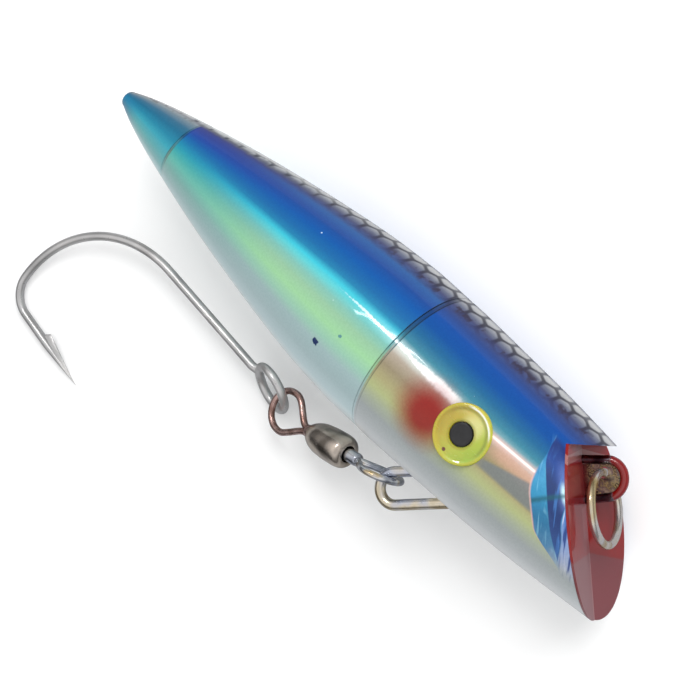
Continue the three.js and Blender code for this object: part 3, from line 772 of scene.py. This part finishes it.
def eye_material():
    """Yellow-green eye: darker ring, painted groove shade, painted highlight, light caught on its
    rim.
    """
    g = Graph("yellow_eye")
    along = g.x + ORIGIN_STATION - EYE_STATION
    up = g.y - EYE_UP
    reach = g.length(along, up)
    tint = g.noise(1.6, detail=2.0, shift=7.0) - 0.5
    lean = along * 0.16 - up * 0.05 + tint * 0.5
    iris = g.ramp(lean, [(-0.9, "a08a1c"), (-0.3, "b0a02a"), (0.25, "aab238"), (0.9, "93ac34")])
    # Painted highlight: a bright patch on the upper side of the iris.
    bright = g.length(along - 1.0, up - 2.6).rise(3.4, 0.8)
    iris = g.mix(bright * 0.75, iris, "ccc98a")
    # Painted shade in the groove inside the rim, deepest on its upper side.
    groove = (reach - 4.95).hump(0.0, 0.55) * (along * 0.4 + up).rise(-1.5, 2.5)
    iris = g.mix(groove * 0.5, iris, "6e6a1e")
    inner = (reach - 2.75).hump(0.0, 0.5)
    iris = g.mix(inner * 0.6, iris, "8d8618")
    rim = reach.rise(5.2, 5.6)
    iris = g.mix(rim * 0.6, iris, "b8ae2c")
    # Painted reflection of a light, as a crescent on the upper rim.
    crescent = (reach - 5.5).hump(0.0, 0.35) * (along * 0.35 + up * 0.94).rise(3.6, 5.0)
    iris = g.mix(crescent * 0.9, iris, "f4f8f0")
    chip = g.length(along + 1.0, up + 4.45).rise(0.5, 0.3)
    iris = g.mix(chip, iris, "5e2410")
    scratch = g.noise(0.5, stretch=(4, 1, 1), detail=3.0)
    return g.surface(
        Base_Color=iris, Roughness=scratch * 0.25 + 0.12, Coat_Weight=1.0,
        Coat_Roughness=0.03, Subsurface_Weight=0.15, Subsurface_Scale=0.001,
        Normal=g.bump(scratch, 0.15, 0.08),
    )


def plain_material(name, tone, other, rough, metallic=0.0, size=1.5, coat=0.0):
    """A two-tone speckled finish for small or inner parts."""
    g = Graph(name)
    cloud = g.noise(size, detail=4.0, shift=len(name))
    fine = g.noise(size * 0.15, detail=2.0, shift=1.0)
    colour = g.mix(cloud.rise(0.35, 0.65), tone, other)
    return g.surface(
        Base_Color=colour, Metallic=metallic, Roughness=fine * 0.2 + (rough - 0.1),
        Coat_Weight=coat, Coat_Roughness=0.04, Normal=g.bump(fine, 0.2, 0.04),
    )


# ---- lure pieces ----------------------------------------------------------------

SIDES = 144
RIM = 0.12
SHELL = body_material()
RED = lacquer_material()


def full_turn():
    """Angles of the points round the body."""
    return [2 * math.pi * k / SIDES for k in range(SIDES)]


def shell_section(name, start, end, step, replaces):
    """A hollow turned section with slightly rounded rims."""
    count = round((end - start) / step)
    outer = [start + (end - start) * i / count for i in range(count + 1)]
    near = RIM * 0.3
    profile = [(start, body_radius(start) - RIM), (start + near, body_radius(start) - near)]
    profile += [(s, body_radius(s)) for s in outer if start + RIM < s < end - RIM]
    profile += [(end - near, body_radius(end) - near), (end, body_radius(end) - RIM)]
    profile += [(s, body_radius(s) - WALL) for s in reversed(outer)]
    loops = [[lure_point(s, a, r) for a in full_turn()] for s, r in profile]
    make(name, rings(loops, wrap=True), SHELL, "lure_body", replaces)


def tail_section():
    """The closed tail cone, hollow from its open end to station 6."""
    end = TAIL_SEAM - TAIL_SEAM_HALF
    round_tip = [0.02, 0.1, 0.25, 0.5, 0.85, 1.3]
    outside = round_tip + [2 + 1.2 * i for i in range(15)]
    profile = [(s, body_radius(s)) for s in outside if s < end]
    profile += [(end - 0.05, body_radius(end)), (end, body_radius(end) - 0.1)]
    hollow = (end, 18, 14, 10, 6)
    profile += [(s, body_radius(s) - WALL) for s in hollow]
    loops = [[lure_point(s, a, r) for a in full_turn()] for s, r in profile]
    make("tail_skin", capped(loops), SHELL, "lure_body", ["tail_cap"])


def rim_angles(depth):
    """Angles round the front edge: over the brow first, then down round the mouth."""
    count_brow = 40
    count_mouth = 120
    corner = brow_corner(depth)
    brow = [-corner + 2 * corner * i / count_brow for i in range(count_brow)]
    sweep = 2 * math.pi - 2 * corner
    mouth = [corner + sweep * i / count_mouth for i in range(count_mouth)]
    return brow, mouth


def groove_top(depth):
    """Where the groove runs out under the brow."""
    low = 0.0
    high = BROW_TIP[1]
    for _ in range(HALVINGS):
        up = (low + high) / 2
        station = GROOVE[0] + GROOVE[1] - up - depth * math.sqrt(2)
        if brow_excess(station, up) > 0:
            low = up
        else:
            high = up
    return middle_point((station, up))


def head_section():
    """The head: its outside, the faces behind the mouth plate, and the hollow inside."""
    start = MID_SEAM + MID_SEAM_HALF
    depth = PLATE + 0.03
    brow, mouth = rim_angles(depth)
    angles = brow + mouth
    ends = [brow_station(a) for a in brow] + [mouth_station(a, depth) for a in mouth]
    columns = 56
    first_ring = start + RIM / 3
    loops = [[lure_point(start, a, body_radius(start) - RIM) for a in angles]]
    for i in range(columns + 1):
        loop = []
        for a, end in zip(angles, ends):
            s = first_ring + (end - first_ring) * i / columns
            loop.append(lure_point(s, a, body_radius(s)))
        loops.append(loop)
    verts, faces = rings(loops)
    count = len(angles)
    edge = len(verts) - count
    top = len(verts)
    verts.append(groove_top(depth))
    corner = edge + len(brow)
    middle = corner + len(mouth) // 2
    underside = len(faces)
    faces.append(tuple(range(edge, corner + 1)) + (top,))
    faces.append(tuple(range(corner, middle + 1)) + (top,))
    faces.append(tuple(range(middle, edge + count)) + (edge, top))
    nose_thickness = 8.8
    hollow_end = 128
    steps = 12
    inner = []
    for i in range(steps + 1):
        loop = []
        for a in angles:
            far = last_station(a, lambda s, up, out: facet_excess(s, up, 0) > -nose_thickness)
            s = start + (min(far, hollow_end) - start) * (1 - i / steps)
            loop.append(lure_point(s, a, body_radius(s) - WALL))
        inner.append(loop)
    first = len(verts)
    inner_verts, inner_faces = rings(inner)
    verts += inner_verts
    faces += [tuple(i + first for i in f) for f in inner_faces]
    faces.append(tuple(first + k for k in reversed(range(count))))
    faces += band(first + steps * count, 0, count)
    head = make("head_skin", (verts, faces), SHELL, "lure_body", ["head_shell"],
                sharp=30)
    head.data.materials.append(RED)
    head.data.polygons[underside].material_index = 1


def mouth_plate():
    """Two lacquered facets that meet in the groove, with a bevelled outer edge."""
    bevel = 0.06
    layers = []
    for depth, shrink in ((PLATE, 0.0), (bevel, 0.0), (0.0, bevel)):
        _, mouth = rim_angles(depth)
        mouth = mouth + [2 * math.pi - mouth[0]]
        loop = []
        for a in mouth:
            s = mouth_station(a, depth)
            loop.append(lure_point(s, a, body_radius(s) - shrink))
        layers.append([groove_top(depth)] + loop)
    verts = [p for layer in layers for p in layer]
    count = len(layers[0])
    faces = band(0, count, count) + band(count, 2 * count, count)
    middle = 1 + (count - 1) // 2
    for first, flip in ((0, True), (2 * count, False)):
        right = [first] + [first + k for k in range(1, middle + 1)]
        left = [first] + [first + k for k in range(middle, count)]
        for side in (right, left):
            faces.append(tuple(reversed(side)) if flip else tuple(side))
    make("mouth_lacquer", (verts, faces), RED, "lure_body", ["mouth_plate"],
         sharp=4)


def seam(name, station, width, sink, node):
    """A joint ring that sits a little below the skin on either side of it."""
    a = station - width / 2
    b = station + width / 2
    outer = body_radius(station) - sink
    inner = body_radius(station) - WALL
    bevel_width = 0.06
    bevel_drop = 0.05
    profile = [(a, inner), (a, outer - bevel_drop), (a + bevel_width, outer),
               (b - bevel_width, outer), (b, outer - bevel_drop), (b, inner)]
    loops = [[lure_point(s, t, r) for t in full_turn()] for s, r in profile]
    make(name, rings(loops, wrap=True), SHELL, "lure_body", [node])


def eye_frame(side):
    """Origin, outward axis and a direction across for one eye; side 1 is the upper one."""
    axis = Vector((math.sin(EYE_LEAN), math.sin(EYE_RISE), side * math.cos(EYE_RISE)))
    axis.normalize()
    foot = middle_point((EYE_STATION, 0))
    origin = foot - Vector((EYE_RADIUS_OUT * math.sin(EYE_LEAN), 0, 0)) + axis * EYE_PROUD
    across = (Vector((1, 0, 0)) - axis * axis.x).normalized()
    return origin, axis, across


def eyes():
    """Both eyes: a turned cup with a raised rim, and a black disc in its middle."""
    lens = eye_material()
    black = plain_material("pupil_gloss", "08080a", "121214", 0.45, coat=0.35, size=0.8)
    # Both profiles are (distance out along the eye's axis, radius).
    profile = [
        (13.4, 6.05), (15.95, 6.05), (16.12, 5.98), (16.22, 5.82), (16.24, 5.62),
        (16.2, 5.42), (16.12, 5.2), (16.08, 5.0), (16.1, 4.8), (16.17, 4.5), (16.28, 4.0),
        (16.38, 3.4), (16.44, 2.9), (16.42, 2.62), (16.3, 2.5), (16.0, 2.48), (16.0, 0.02),
    ]
    disc = [
        (15.9, 2.38), (16.36, 2.38), (16.5, 2.32), (16.6, 2.2), (16.64, 2.0), (16.62, 1.8),
        (16.58, 1.4), (16.57, 0.02),
    ]
    for side, word in ((1, "right"), (-1, "left")):
        where = eye_frame(side)
        cup = spun(profile, *where, 72)
        make("eye_lens_" + word, cup, lens, "lure_body", ["eye_" + word])
        button = spun(disc, *where, 56)
        make("eye_disc_" + word, button, black, "lure_body", ["pupil_" + word])


# ---- tackle ---------------------------------------------------------------------

def staple(at, bend, wire, leg, spread, way):
    """A U of wire in the lure's middle plane; leg ends are inside the body."""
    out = Vector((math.cos(STAPLE_SLOPE), math.sin(STAPLE_SLOPE), 0)) * way
    side = Vector((-out.y, out.x, 0))
    half = math.pi / 2 + spread
    centre = middle_point(at)
    curve = arc(centre, out, side, bend, -half, half, 40)
    foot = [
        p - out * (leg * math.cos(spread)) + side * (sign * leg * math.sin(spread))
        for p, sign in ((curve[0], -1), (curve[-1], 1))
    ]
    return swept([foot[0], *curve, foot[1]], wire, Vector((0, 0, 1)), 28)


def out_of_mouth(g):
    """Distance along the nose loop's legs, 0 at the centre of its bend."""
    station = g.x + ORIGIN_STATION - NOSE_LOOP_AT[0]
    up = g.y - NOSE_LOOP_AT[1]
    return station * math.cos(STAPLE_SLOPE) + up * math.sin(STAPLE_SLOPE)


def red_dip(g):
    """The outer half of the nose loop is dipped in clear red."""
    along = out_of_mouth(g)
    ragged = (g.noise(1.5, detail=3.0, shift=6.0) - 0.5) * 1.4
    return (along + ragged).rise(0.9, 1.5)


def wires():
    """The nose loop, the belly hanger and the line ring."""
    dark = ["2e2b33", "5a5460", "8d8a96", "6b5a48"]
    loop_metal = metal_material("loop_wire", dark, size=2.0, rough=0.18, dip=red_dip)
    loop = staple(NOSE_LOOP_AT, bend=3.6, wire=0.88, leg=16.0, spread=math.radians(3.5), way=1)
    make("nose_wire", loop, loop_metal, "lure_body", ["nose_loop"])
    worn = ["a2a8b8", "c6cad6", "e0d4bc", "b8a47c"]
    hanger_metal = metal_material("hanger_wire", worn, size=3.0)
    hanger = staple(HANGER_AT, bend=3.3, wire=1.13, leg=17.0, spread=0.0, way=-1)
    make("hanger_wire", hanger, hanger_metal, "lure_body", ["belly_hanger"])
    bronzed = ["b29a68", "cfbd94", "dcd6ca", "d2d0d4", "b9a684", "e0dcd8"]
    bronze = metal_material("ring_wire", bronzed, size=5.0, wear=0.3, shine=0.88)
    down = Vector((1, -1, 0)).normalized()
    off = Vector((1, 1, 0)).normalized()
    centre = middle_point(LINE_RING_AT) + down * LINE_RING_RADIUS
    circle = arc(centre, down, off.cross(down), LINE_RING_RADIUS, 0, 2 * math.pi, 96)[:-1]
    ring = swept(circle, LINE_RING_WIRE, off, 24, closed=True)
    make("line_ring", ring, bronze, "nose_ring", ["nose_ring"])


SWIVEL_HEADING = math.radians(196.5)
SWIVEL_DIP = math.radians(16.2)
SWIVEL_AXIS = Vector((
    math.cos(SWIVEL_HEADING) * math.cos(SWIVEL_DIP),
    math.sin(SWIVEL_HEADING) * math.cos(SWIVEL_DIP),
    -math.sin(SWIVEL_DIP),
))
SWIVEL_SIDE = Vector((-math.sin(SWIVEL_HEADING), math.cos(SWIVEL_HEADING), 0))
SWIVEL_UP = SWIVEL_AXIS.cross(SWIVEL_SIDE)
SWIVEL_ROOT = middle_point(HANGER_AT) - SWIVEL_SIDE * 1.05
# Start and end of the barrel along the swivel, and its radius.
BARREL = (14.8, 26.2, 3.6)
EYE_WIRE = 0.72
BULB = 4.4


def swivel_eye(shaft_at, end_at, lateral, normal, lean):
    """A bulb of wire whose two legs run together into the barrel; lean shifts it sideways."""
    way = math.copysign(1, end_at - shaft_at)
    bulb_at = end_at - way * BULB
    neck = [(shaft_at, EYE_WIRE), (bulb_at - way * 6.0, EYE_WIRE + 0.04)]
    opening = math.radians(128)
    turns = [opening - 2 * opening * i / 8 for i in range(9)]
    bulb = [(bulb_at + way * BULB * math.cos(t), lean + BULB * math.sin(t)) for t in turns]
    flat = neck + bulb + [(s, -w) for s, w in reversed(neck)]
    points = [SWIVEL_ROOT + SWIVEL_AXIS * s + lateral * w for s, w in flat]
    return swept(catmull(points, 9), EYE_WIRE, normal, 22)


def swivel_shaft(head_at, neck_at):
    """A shaft with a head that the barrel holds."""
    step = math.copysign(1, neck_at - head_at)
    profile = [
        (head_at, 2.0), (head_at + step * 0.2, 2.2), (head_at + step * 1.3, 2.2),
        (head_at + step * 1.9, 1.4), (neck_at - step * 0.7, 1.4),
        (neck_at - step * 0.3, 1.3), (neck_at, 1.0),
    ]
    return spun(profile, SWIVEL_ROOT, SWIVEL_AXIS, SWIVEL_SIDE, 40)


def swivel():
    """Two wire eyes, each with its shaft, and the barrel between them."""
    steel = ["8c929c", "b8bcc6", "dcdcdc", "cdb27c"]
    lower = metal_material("lower_eye_metal", steel, size=2.2)
    copper = ["8a6a60", "ab8a82", "c8aaa2", "94766c"]
    upper = metal_material("upper_eye_metal", copper, size=1.8, rough=0.24)
    plated = ["8e857a", "b9afa4", "d6c9ba", "a99d86"]
    nickel = metal_material("barrel_metal", plated, size=2.6, rough=0.22)
    a, b, r = BARREL
    eye = swivel_eye(a - 2.2, 0.6, SWIVEL_UP, SWIVEL_SIDE, lean=0.0)
    shape = merge(eye, swivel_shaft(a + 4.2, a - 3.4))
    make("lower_eye_wire", shape, lower, "swivel_lower", ["swivel_eye_lower"])
    eye = swivel_eye(b + 0.6, 39.4, SWIVEL_SIDE, SWIVEL_UP, lean=-1.1)
    shape = merge(eye, swivel_shaft(b - 4.2, b + 1.6))
    make("upper_eye_wire", shape, upper, "swivel_upper", ["swivel_eye_upper"])
    profile = [
        (a + 0.1, 1.8), (a, 2.0), (a, r - 1.2), (a + 0.12, r - 0.9), (a + 0.4, r - 0.55),
        (a + 0.75, r - 0.3), (a + 1.2, r - 0.14), (a + 2.0, r - 0.03), (a + 2.8, r),
        ((a + b) / 2, r - 0.05), (b - 3.2, r - 0.3), (b - 2.2, r - 0.55), (b - 1.5, r - 0.8),
        (b - 0.9, r - 1.08), (b - 0.5, r - 1.3), (b - 0.1, r - 1.55), (b, 1.9), (b, 1.8),
        (b - 1.3, 1.8), (b - 1.9, 2.6), (a + 1.9, 2.6), (a + 1.3, 1.8),
    ]
    shape = spun(profile, SWIVEL_ROOT, SWIVEL_AXIS, SWIVEL_SIDE, 64, closed=True)
    make("barrel_shell", shape, nickel, "swivel_barrel", ["swivel_barrel"])


def direction(heading, rise):
    """A unit vector from its heading in the bench plane and its rise over it."""
    return Vector((
        math.cos(heading) * math.cos(rise), math.sin(heading) * math.cos(rise), math.sin(rise),
    ))


def hook():
    """Ring eye, straight shank, wide round bend, tight corner, and a long tapered point."""
    wire = 0.97
    eye_radius = 4.95
    centre = Vector((-22.5, -27.85, 6.0))
    heading = math.radians(154.3)
    aft = direction(heading, math.radians(14.3))
    flat = Vector((math.sin(heading), -math.cos(heading), 0))
    upwards = Matrix.Rotation(-math.radians(48), 3, aft) @ flat
    circle = arc(centre, aft, upwards, eye_radius, 0, 2 * math.pi, 72)[:-1]
    ring = swept(circle, wire, aft.cross(upwards), 24, closed=True)

    shank_heading = math.radians(175.3)
    u = direction(shank_heading, -math.radians(0.35))
    gape = Vector((-math.sin(shank_heading), math.cos(shank_heading), 0))
    v = Matrix.Rotation(-math.radians(7.6), 3, u) @ gape
    normal = u.cross(v)
    start = Vector((-28.6, -27.35, 5.9))
    shank = 29.6
    bend = 28.3
    corner_radius = 6.1
    leg_length = 21.0
    taper = 12.5

    def at(along, across):
        """A point in the hook's plane."""
        return start + u * along + v * across

    entry = math.radians(25)
    eye_end = centre + (aft * math.cos(entry) - upwards * math.sin(entry)) * eye_radius
    lead = catmull([eye_end, at(0.6, 0), at(3.0, 0), at(15, 0), at(shank, 0)], 8)[:-1]
    quarter = math.pi / 2
    round_bend = arc(at(shank, bend), u, v, bend, -quarter, 0, 48)
    sweep = math.radians(85)
    corner = arc(at(shank + bend - corner_radius, bend), u, v, corner_radius, 0, sweep, 18)[1:]
    heading_out = quarter + sweep
    out = u * math.cos(heading_out) + v * math.sin(heading_out)
    leg_steps = 24
    leg = [corner[-1] + out * (leg_length * (i + 1) / leg_steps) for i in range(leg_steps)]
    path = lead + round_bend + corner + leg
    tip = path[-1]
    radii = [wire * min(1.0, 0.05 + (p - tip).length / taper) for p in path]
    body = swept(path, radii, normal, 24)
    back = -out
    inward = normal.cross(back)
    if inward.dot(v) > 0:
        inward = -inward
    barb = barb_mesh(tip, back, inward, normal)
    grey = ["b0afae", "c6c5c4", "d6d4d2", "b8b6b4"]
    metal = metal_material("hook_metal", grey, size=6.0, rough=0.28, wear=0.3, shine=0.8)
    make("hook_wire", merge(body, ring, barb), metal, "hook", ["hook"])


def barb_mesh(tip, back, inward, normal):
    """A wedge cut up from the inner side of the point, ending in a sharp step."""
    loops = []
    for s, height, half in (
        (1.5, 0.05, 0.1), (4.0, 0.62, 0.34), (8.0, 1.42, 0.46), (11.4, 2.12, 0.46),
        (12.5, 2.42, 0.4), (12.9, 2.44, 0.34), (13.4, 1.9, 0.36), (14.1, 1.0, 0.4),
        (14.7, 0.3, 0.4),
    ):
        centre = tip + back * s
        loops.append([
            centre + inward * (height * k) + normal * (half * w)
            for k, w in ((0.0, 1.0), (0.6, 0.8), (0.93, 0.4), (1.0, 0.0), (0.93, -0.4),
                         (0.6, -0.8), (0.0, -1.0))
        ])
    return capped(loops)


def web_material():
    """Mottled brown and gold lacquer, red where it meets the mouth."""
    g = Graph("lacquer_web")
    out = out_of_mouth(g)
    swirl = g.noise(2.2, detail=2.5, shift=2.0)
    fine = g.noise(0.6, detail=2.0, shift=5.0)
    colour = g.ramp(swirl, [(0.34, "3a2a2c"), (0.44, "7c6a54"), (0.5, "a8925e"),
                            (0.56, "5e4c50"), (0.66, "93806e")])
    thread = abs(swirl - 0.5).rise(0.026, 0.01)
    colour = g.mix(thread * 0.9, colour, "17121a")
    colour = g.mix(fine.rise(0.58, 0.68) * 0.6, colour, "b59c5c")
    colour = g.mix(out.rise(-3.0, -4.6), colour, "5e1214")
    return g.surface(
        Base_Color=colour, Metallic=0.35, Roughness=fine * 0.3 + 0.15, Coat_Weight=1.0,
        Coat_Roughness=0.04, Normal=g.bump(swirl, 0.5, 0.25),
    )


def nose_web():
    """A lacquer web inside the nose loop, open where the line ring passes through."""
    out = Vector((math.cos(STAPLE_SLOPE), math.sin(STAPLE_SLOPE), 0))
    side = Vector((-out.y, out.x, 0))
    across = Vector((0, 0, 1))
    centre = middle_point(NOSE_LOOP_AT)
    ring_at = middle_point(LINE_RING_AT) - centre
    hole = (ring_at.dot(out), ring_at.dot(side))
    hole_radius = 1.25
    edge = 3.1
    root = -6.3
    fillet = 0.9

    def place(flat, height):
        """Points of a flat outline (along the loop, across it) at a height over its plane."""
        return [centre + out * c + side * w + across * height for c, w in flat]

    outline = [(edge * math.cos(t), edge * math.sin(t))
               for t in (math.pi * (i / 16 - 0.5) for i in range(17))]
    corner = [(root + fillet * (1 - math.sin(t)), edge - fillet + fillet * math.cos(t))
              for t in (math.pi / 2 * i / 6 for i in range(7))]
    outline += corner + [(root, 1.2), (root, -2.6), (-5.4, -edge)]
    turns = [math.atan2(w - hole[1], c - hole[0]) for c, w in outline]
    rim = [(hole[0] + hole_radius * math.cos(t), hole[1] + hole_radius * math.sin(t))
           for t in turns]
    layers = ((outline, 0.14), (outline, -0.14), (rim, -0.1), (rim, 0.1))
    web = rings([place(flat, half) for flat, half in layers], wrap=True)
    make("loop_web", web, web_material(), "lure_body")
    path = [(root, -2.6), (root, 1.2)] + list(reversed(corner)) + [(-2.2, 3.05)]
    pale = plain_material("web_bead", "c79c98", "a8706e", 0.2, coat=1.0, size=1.0)
    bead = swept(catmull(place(path, 0.2), 4), 0.13, across, 10)
    make("loop_web_bead", bead, pale, "lure_body")


# ---- inner parts ----------------------------------------------------------------

def dress_inner_nodes():
    """Finishes for the pieces inside the body, which keep their CAD shapes."""
    film = plain_material("inner_film", "3f9bb0", "6fc0a8", 0.25, metallic=0.8, size=6.0)
    moulded = plain_material("inner_moulding", "d8d5cb", "c6c2b6", 0.5)
    lead = plain_material("cast_weight", "6b6d71", "55575b", 0.6, metallic=0.7)
    brass = plain_material("tube_brass", "b08d4a", "94733a", 0.3, metallic=1.0)
    ball = plain_material("ball_steel", "b9bcc0", "9fa2a6", 0.2, metallic=1.0)
    finish = {
        "foil_tail": film, "foil_main": film, "foil_head": film, "tail_joint": moulded,
        "mid_joint": moulded, "wire_anchor": moulded, "tail_ballast": lead,
        "rattle_tube": brass, "rattle_cap": brass, "rattle_ball": ball,
    }
    for name, material in finish.items():
        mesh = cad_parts[name].data
        mesh.materials.clear()
        mesh.materials.append(material)


# ---- stage ----------------------------------------------------------------------

def floor():
    """A pale bench that looks darker in reflections, so that gloss keeps its colour."""
    g = Graph("pale_floor")
    cloud = g.noise(60.0, detail=2.0)
    paper = g.mix(cloud.rise(0.3, 0.7), "fbfbfb", "ffffff")
    ray = g.node("ShaderNodeLightPath")
    in_gloss = Val(g, ray.outputs["Is Glossy Ray"])
    in_view = Val(g, ray.outputs["Is Camera Ray"])
    material = g.surface(
        Base_Color=g.mix(in_gloss, paper, "a6a8ac"), Roughness=0.75, Specular_IOR_Level=0.1,
        Emission_Color=paper, Emission_Strength=in_view * 0.03,
    )
    size = 4.0
    mesh = bpy.data.meshes.new("floor")
    mesh.from_pydata([(-size, -size, 0), (size, -size, 0), (size, size, 0), (-size, size, 0)],
                     [], [(0, 1, 2, 3)])
    mesh.materials.append(material)
    obj = add_object("floor", mesh)
    obj.location.z = -0.15 * MM


def aim(obj, position, target):
    """Puts an object somewhere with its -Z side towards a target."""
    obj.location = position
    towards = Vector(target) - Vector(position)
    obj.rotation_euler = towards.to_track_quat("-Z", "Y").to_euler()


def area_light(name, position, target, width, height, power):
    """A rectangular light; places and sizes are in metres and power in watts."""
    data = bpy.data.lights.new(name, "AREA")
    data.energy = power
    data.shape = "RECTANGLE"
    data.size = width
    data.size_y = height
    obj = add_object(name, data)
    aim(obj, position, target)
    return obj


def dark_card(name, position, target, width, height):
    """A card seen only in reflections, so that bright wire has something dark to show."""
    mesh = bpy.data.meshes.new(name)
    w = width / 2
    h = height / 2
    mesh.from_pydata([(-w, -h, 0), (w, -h, 0), (w, h, 0), (-w, h, 0)], [], [(0, 1, 2, 3)])
    material = bpy.data.materials.new(name)
    material.use_nodes = True
    shader = material.node_tree.nodes["Principled BSDF"]
    shader.inputs["Base Color"].default_value = (0.02, 0.02, 0.025, 1)
    shader.inputs["Roughness"].default_value = 1.0
    mesh.materials.append(material)
    obj = add_object(name, mesh)
    aim(obj, position, target)
    obj.visible_camera = False
    obj.visible_diffuse = False
    obj.visible_shadow = False


def studio():
    """White surroundings for the floor and shading; darker ones with a bright top in gloss."""
    world = bpy.data.worlds.new("studio")
    world.use_nodes = True
    tree = world.node_tree
    tree.nodes.clear()
    coord = tree.nodes.new("ShaderNodeTexCoord")
    split = tree.nodes.new("ShaderNodeSeparateXYZ")
    tree.links.new(coord.outputs["Generated"], split.inputs[0])
    ramp = tree.nodes.new("ShaderNodeValToRGB")
    tree.links.new(split.outputs[2], ramp.inputs[0])
    # Brightness seen in gloss, from straight down (0) to straight up (1).
    levels = ((0.0, 0.10), (0.3, 0.16), (0.55, 0.5), (0.8, 0.95), (1.0, 0.7))
    bluish = 1.02
    stops = ramp.color_ramp.elements
    while len(stops) < len(levels):
        stops.new(0.5)
    for stop, (at, level) in zip(stops, levels):
        stop.position = at
        stop.color = (level, level, level * bluish, 1)
    white = tree.nodes.new("ShaderNodeBackground")
    white.inputs[0].default_value = (1, 1, 1, 1)
    white.inputs[1].default_value = 0.82
    gloss = tree.nodes.new("ShaderNodeBackground")
    tree.links.new(ramp.outputs[0], gloss.inputs[0])
    path = tree.nodes.new("ShaderNodeLightPath")
    mix = tree.nodes.new("ShaderNodeMixShader")
    tree.links.new(path.outputs["Is Glossy Ray"], mix.inputs[0])
    tree.links.new(white.outputs[0], mix.inputs[1])
    tree.links.new(gloss.outputs[0], mix.inputs[2])
    out = tree.nodes.new("ShaderNodeOutputWorld")
    tree.links.new(mix.outputs[0], out.inputs[0])
    bpy.context.scene.world = world
    key = area_light("key", (0.12, 0.75, 0.75), (0, 0, 0), 0.8, 0.8, 9.0)
    key.visible_glossy = False
    glint = area_light("glint", (-0.38, 0.31, 0.87), (0, 0, 0.015), 0.3, 0.05, 1.2)
    glint.visible_diffuse = False
    dark_card("card_low", (-0.5, -0.7, 0.25), (0, 0, 0), 0.9, 0.28)


CAMERA_AT = Vector((180.92, 124.1, 464.51))
CAMERA_TURN = (2.767, 27.133, 40.667)
CAMERA_LENS = 129.15


def camera():
    """The photographer's place over the nose; the turn is about X, Y and Z in degrees."""
    data = bpy.data.cameras.new("camera")
    data.lens = CAMERA_LENS
    data.sensor_width = 36.0
    data.clip_start = 0.01
    obj = add_object("camera", data)
    obj.location = CAMERA_AT * MM
    obj.rotation_euler = [math.radians(turn) for turn in CAMERA_TURN]
    bpy.context.scene.camera = obj


tail_section()
shell_section("main_skin", TAIL_SEAM + TAIL_SEAM_HALF, MID_SEAM - MID_SEAM_HALF, 1.2,
              ["main_shell"])
head_section()
mouth_plate()
seam("tail_seam_line", TAIL_SEAM, 0.5, 0.06, "seam_ring_tail")
seam("mid_seam_line", MID_SEAM, 0.9, 0.08, "seam_ring_mid")
eyes()
wires()
swivel()
hook()
nose_web()
dress_inner_nodes()
floor()
studio()
camera()
bpy.context.scene.view_settings.view_transform = "Standard"
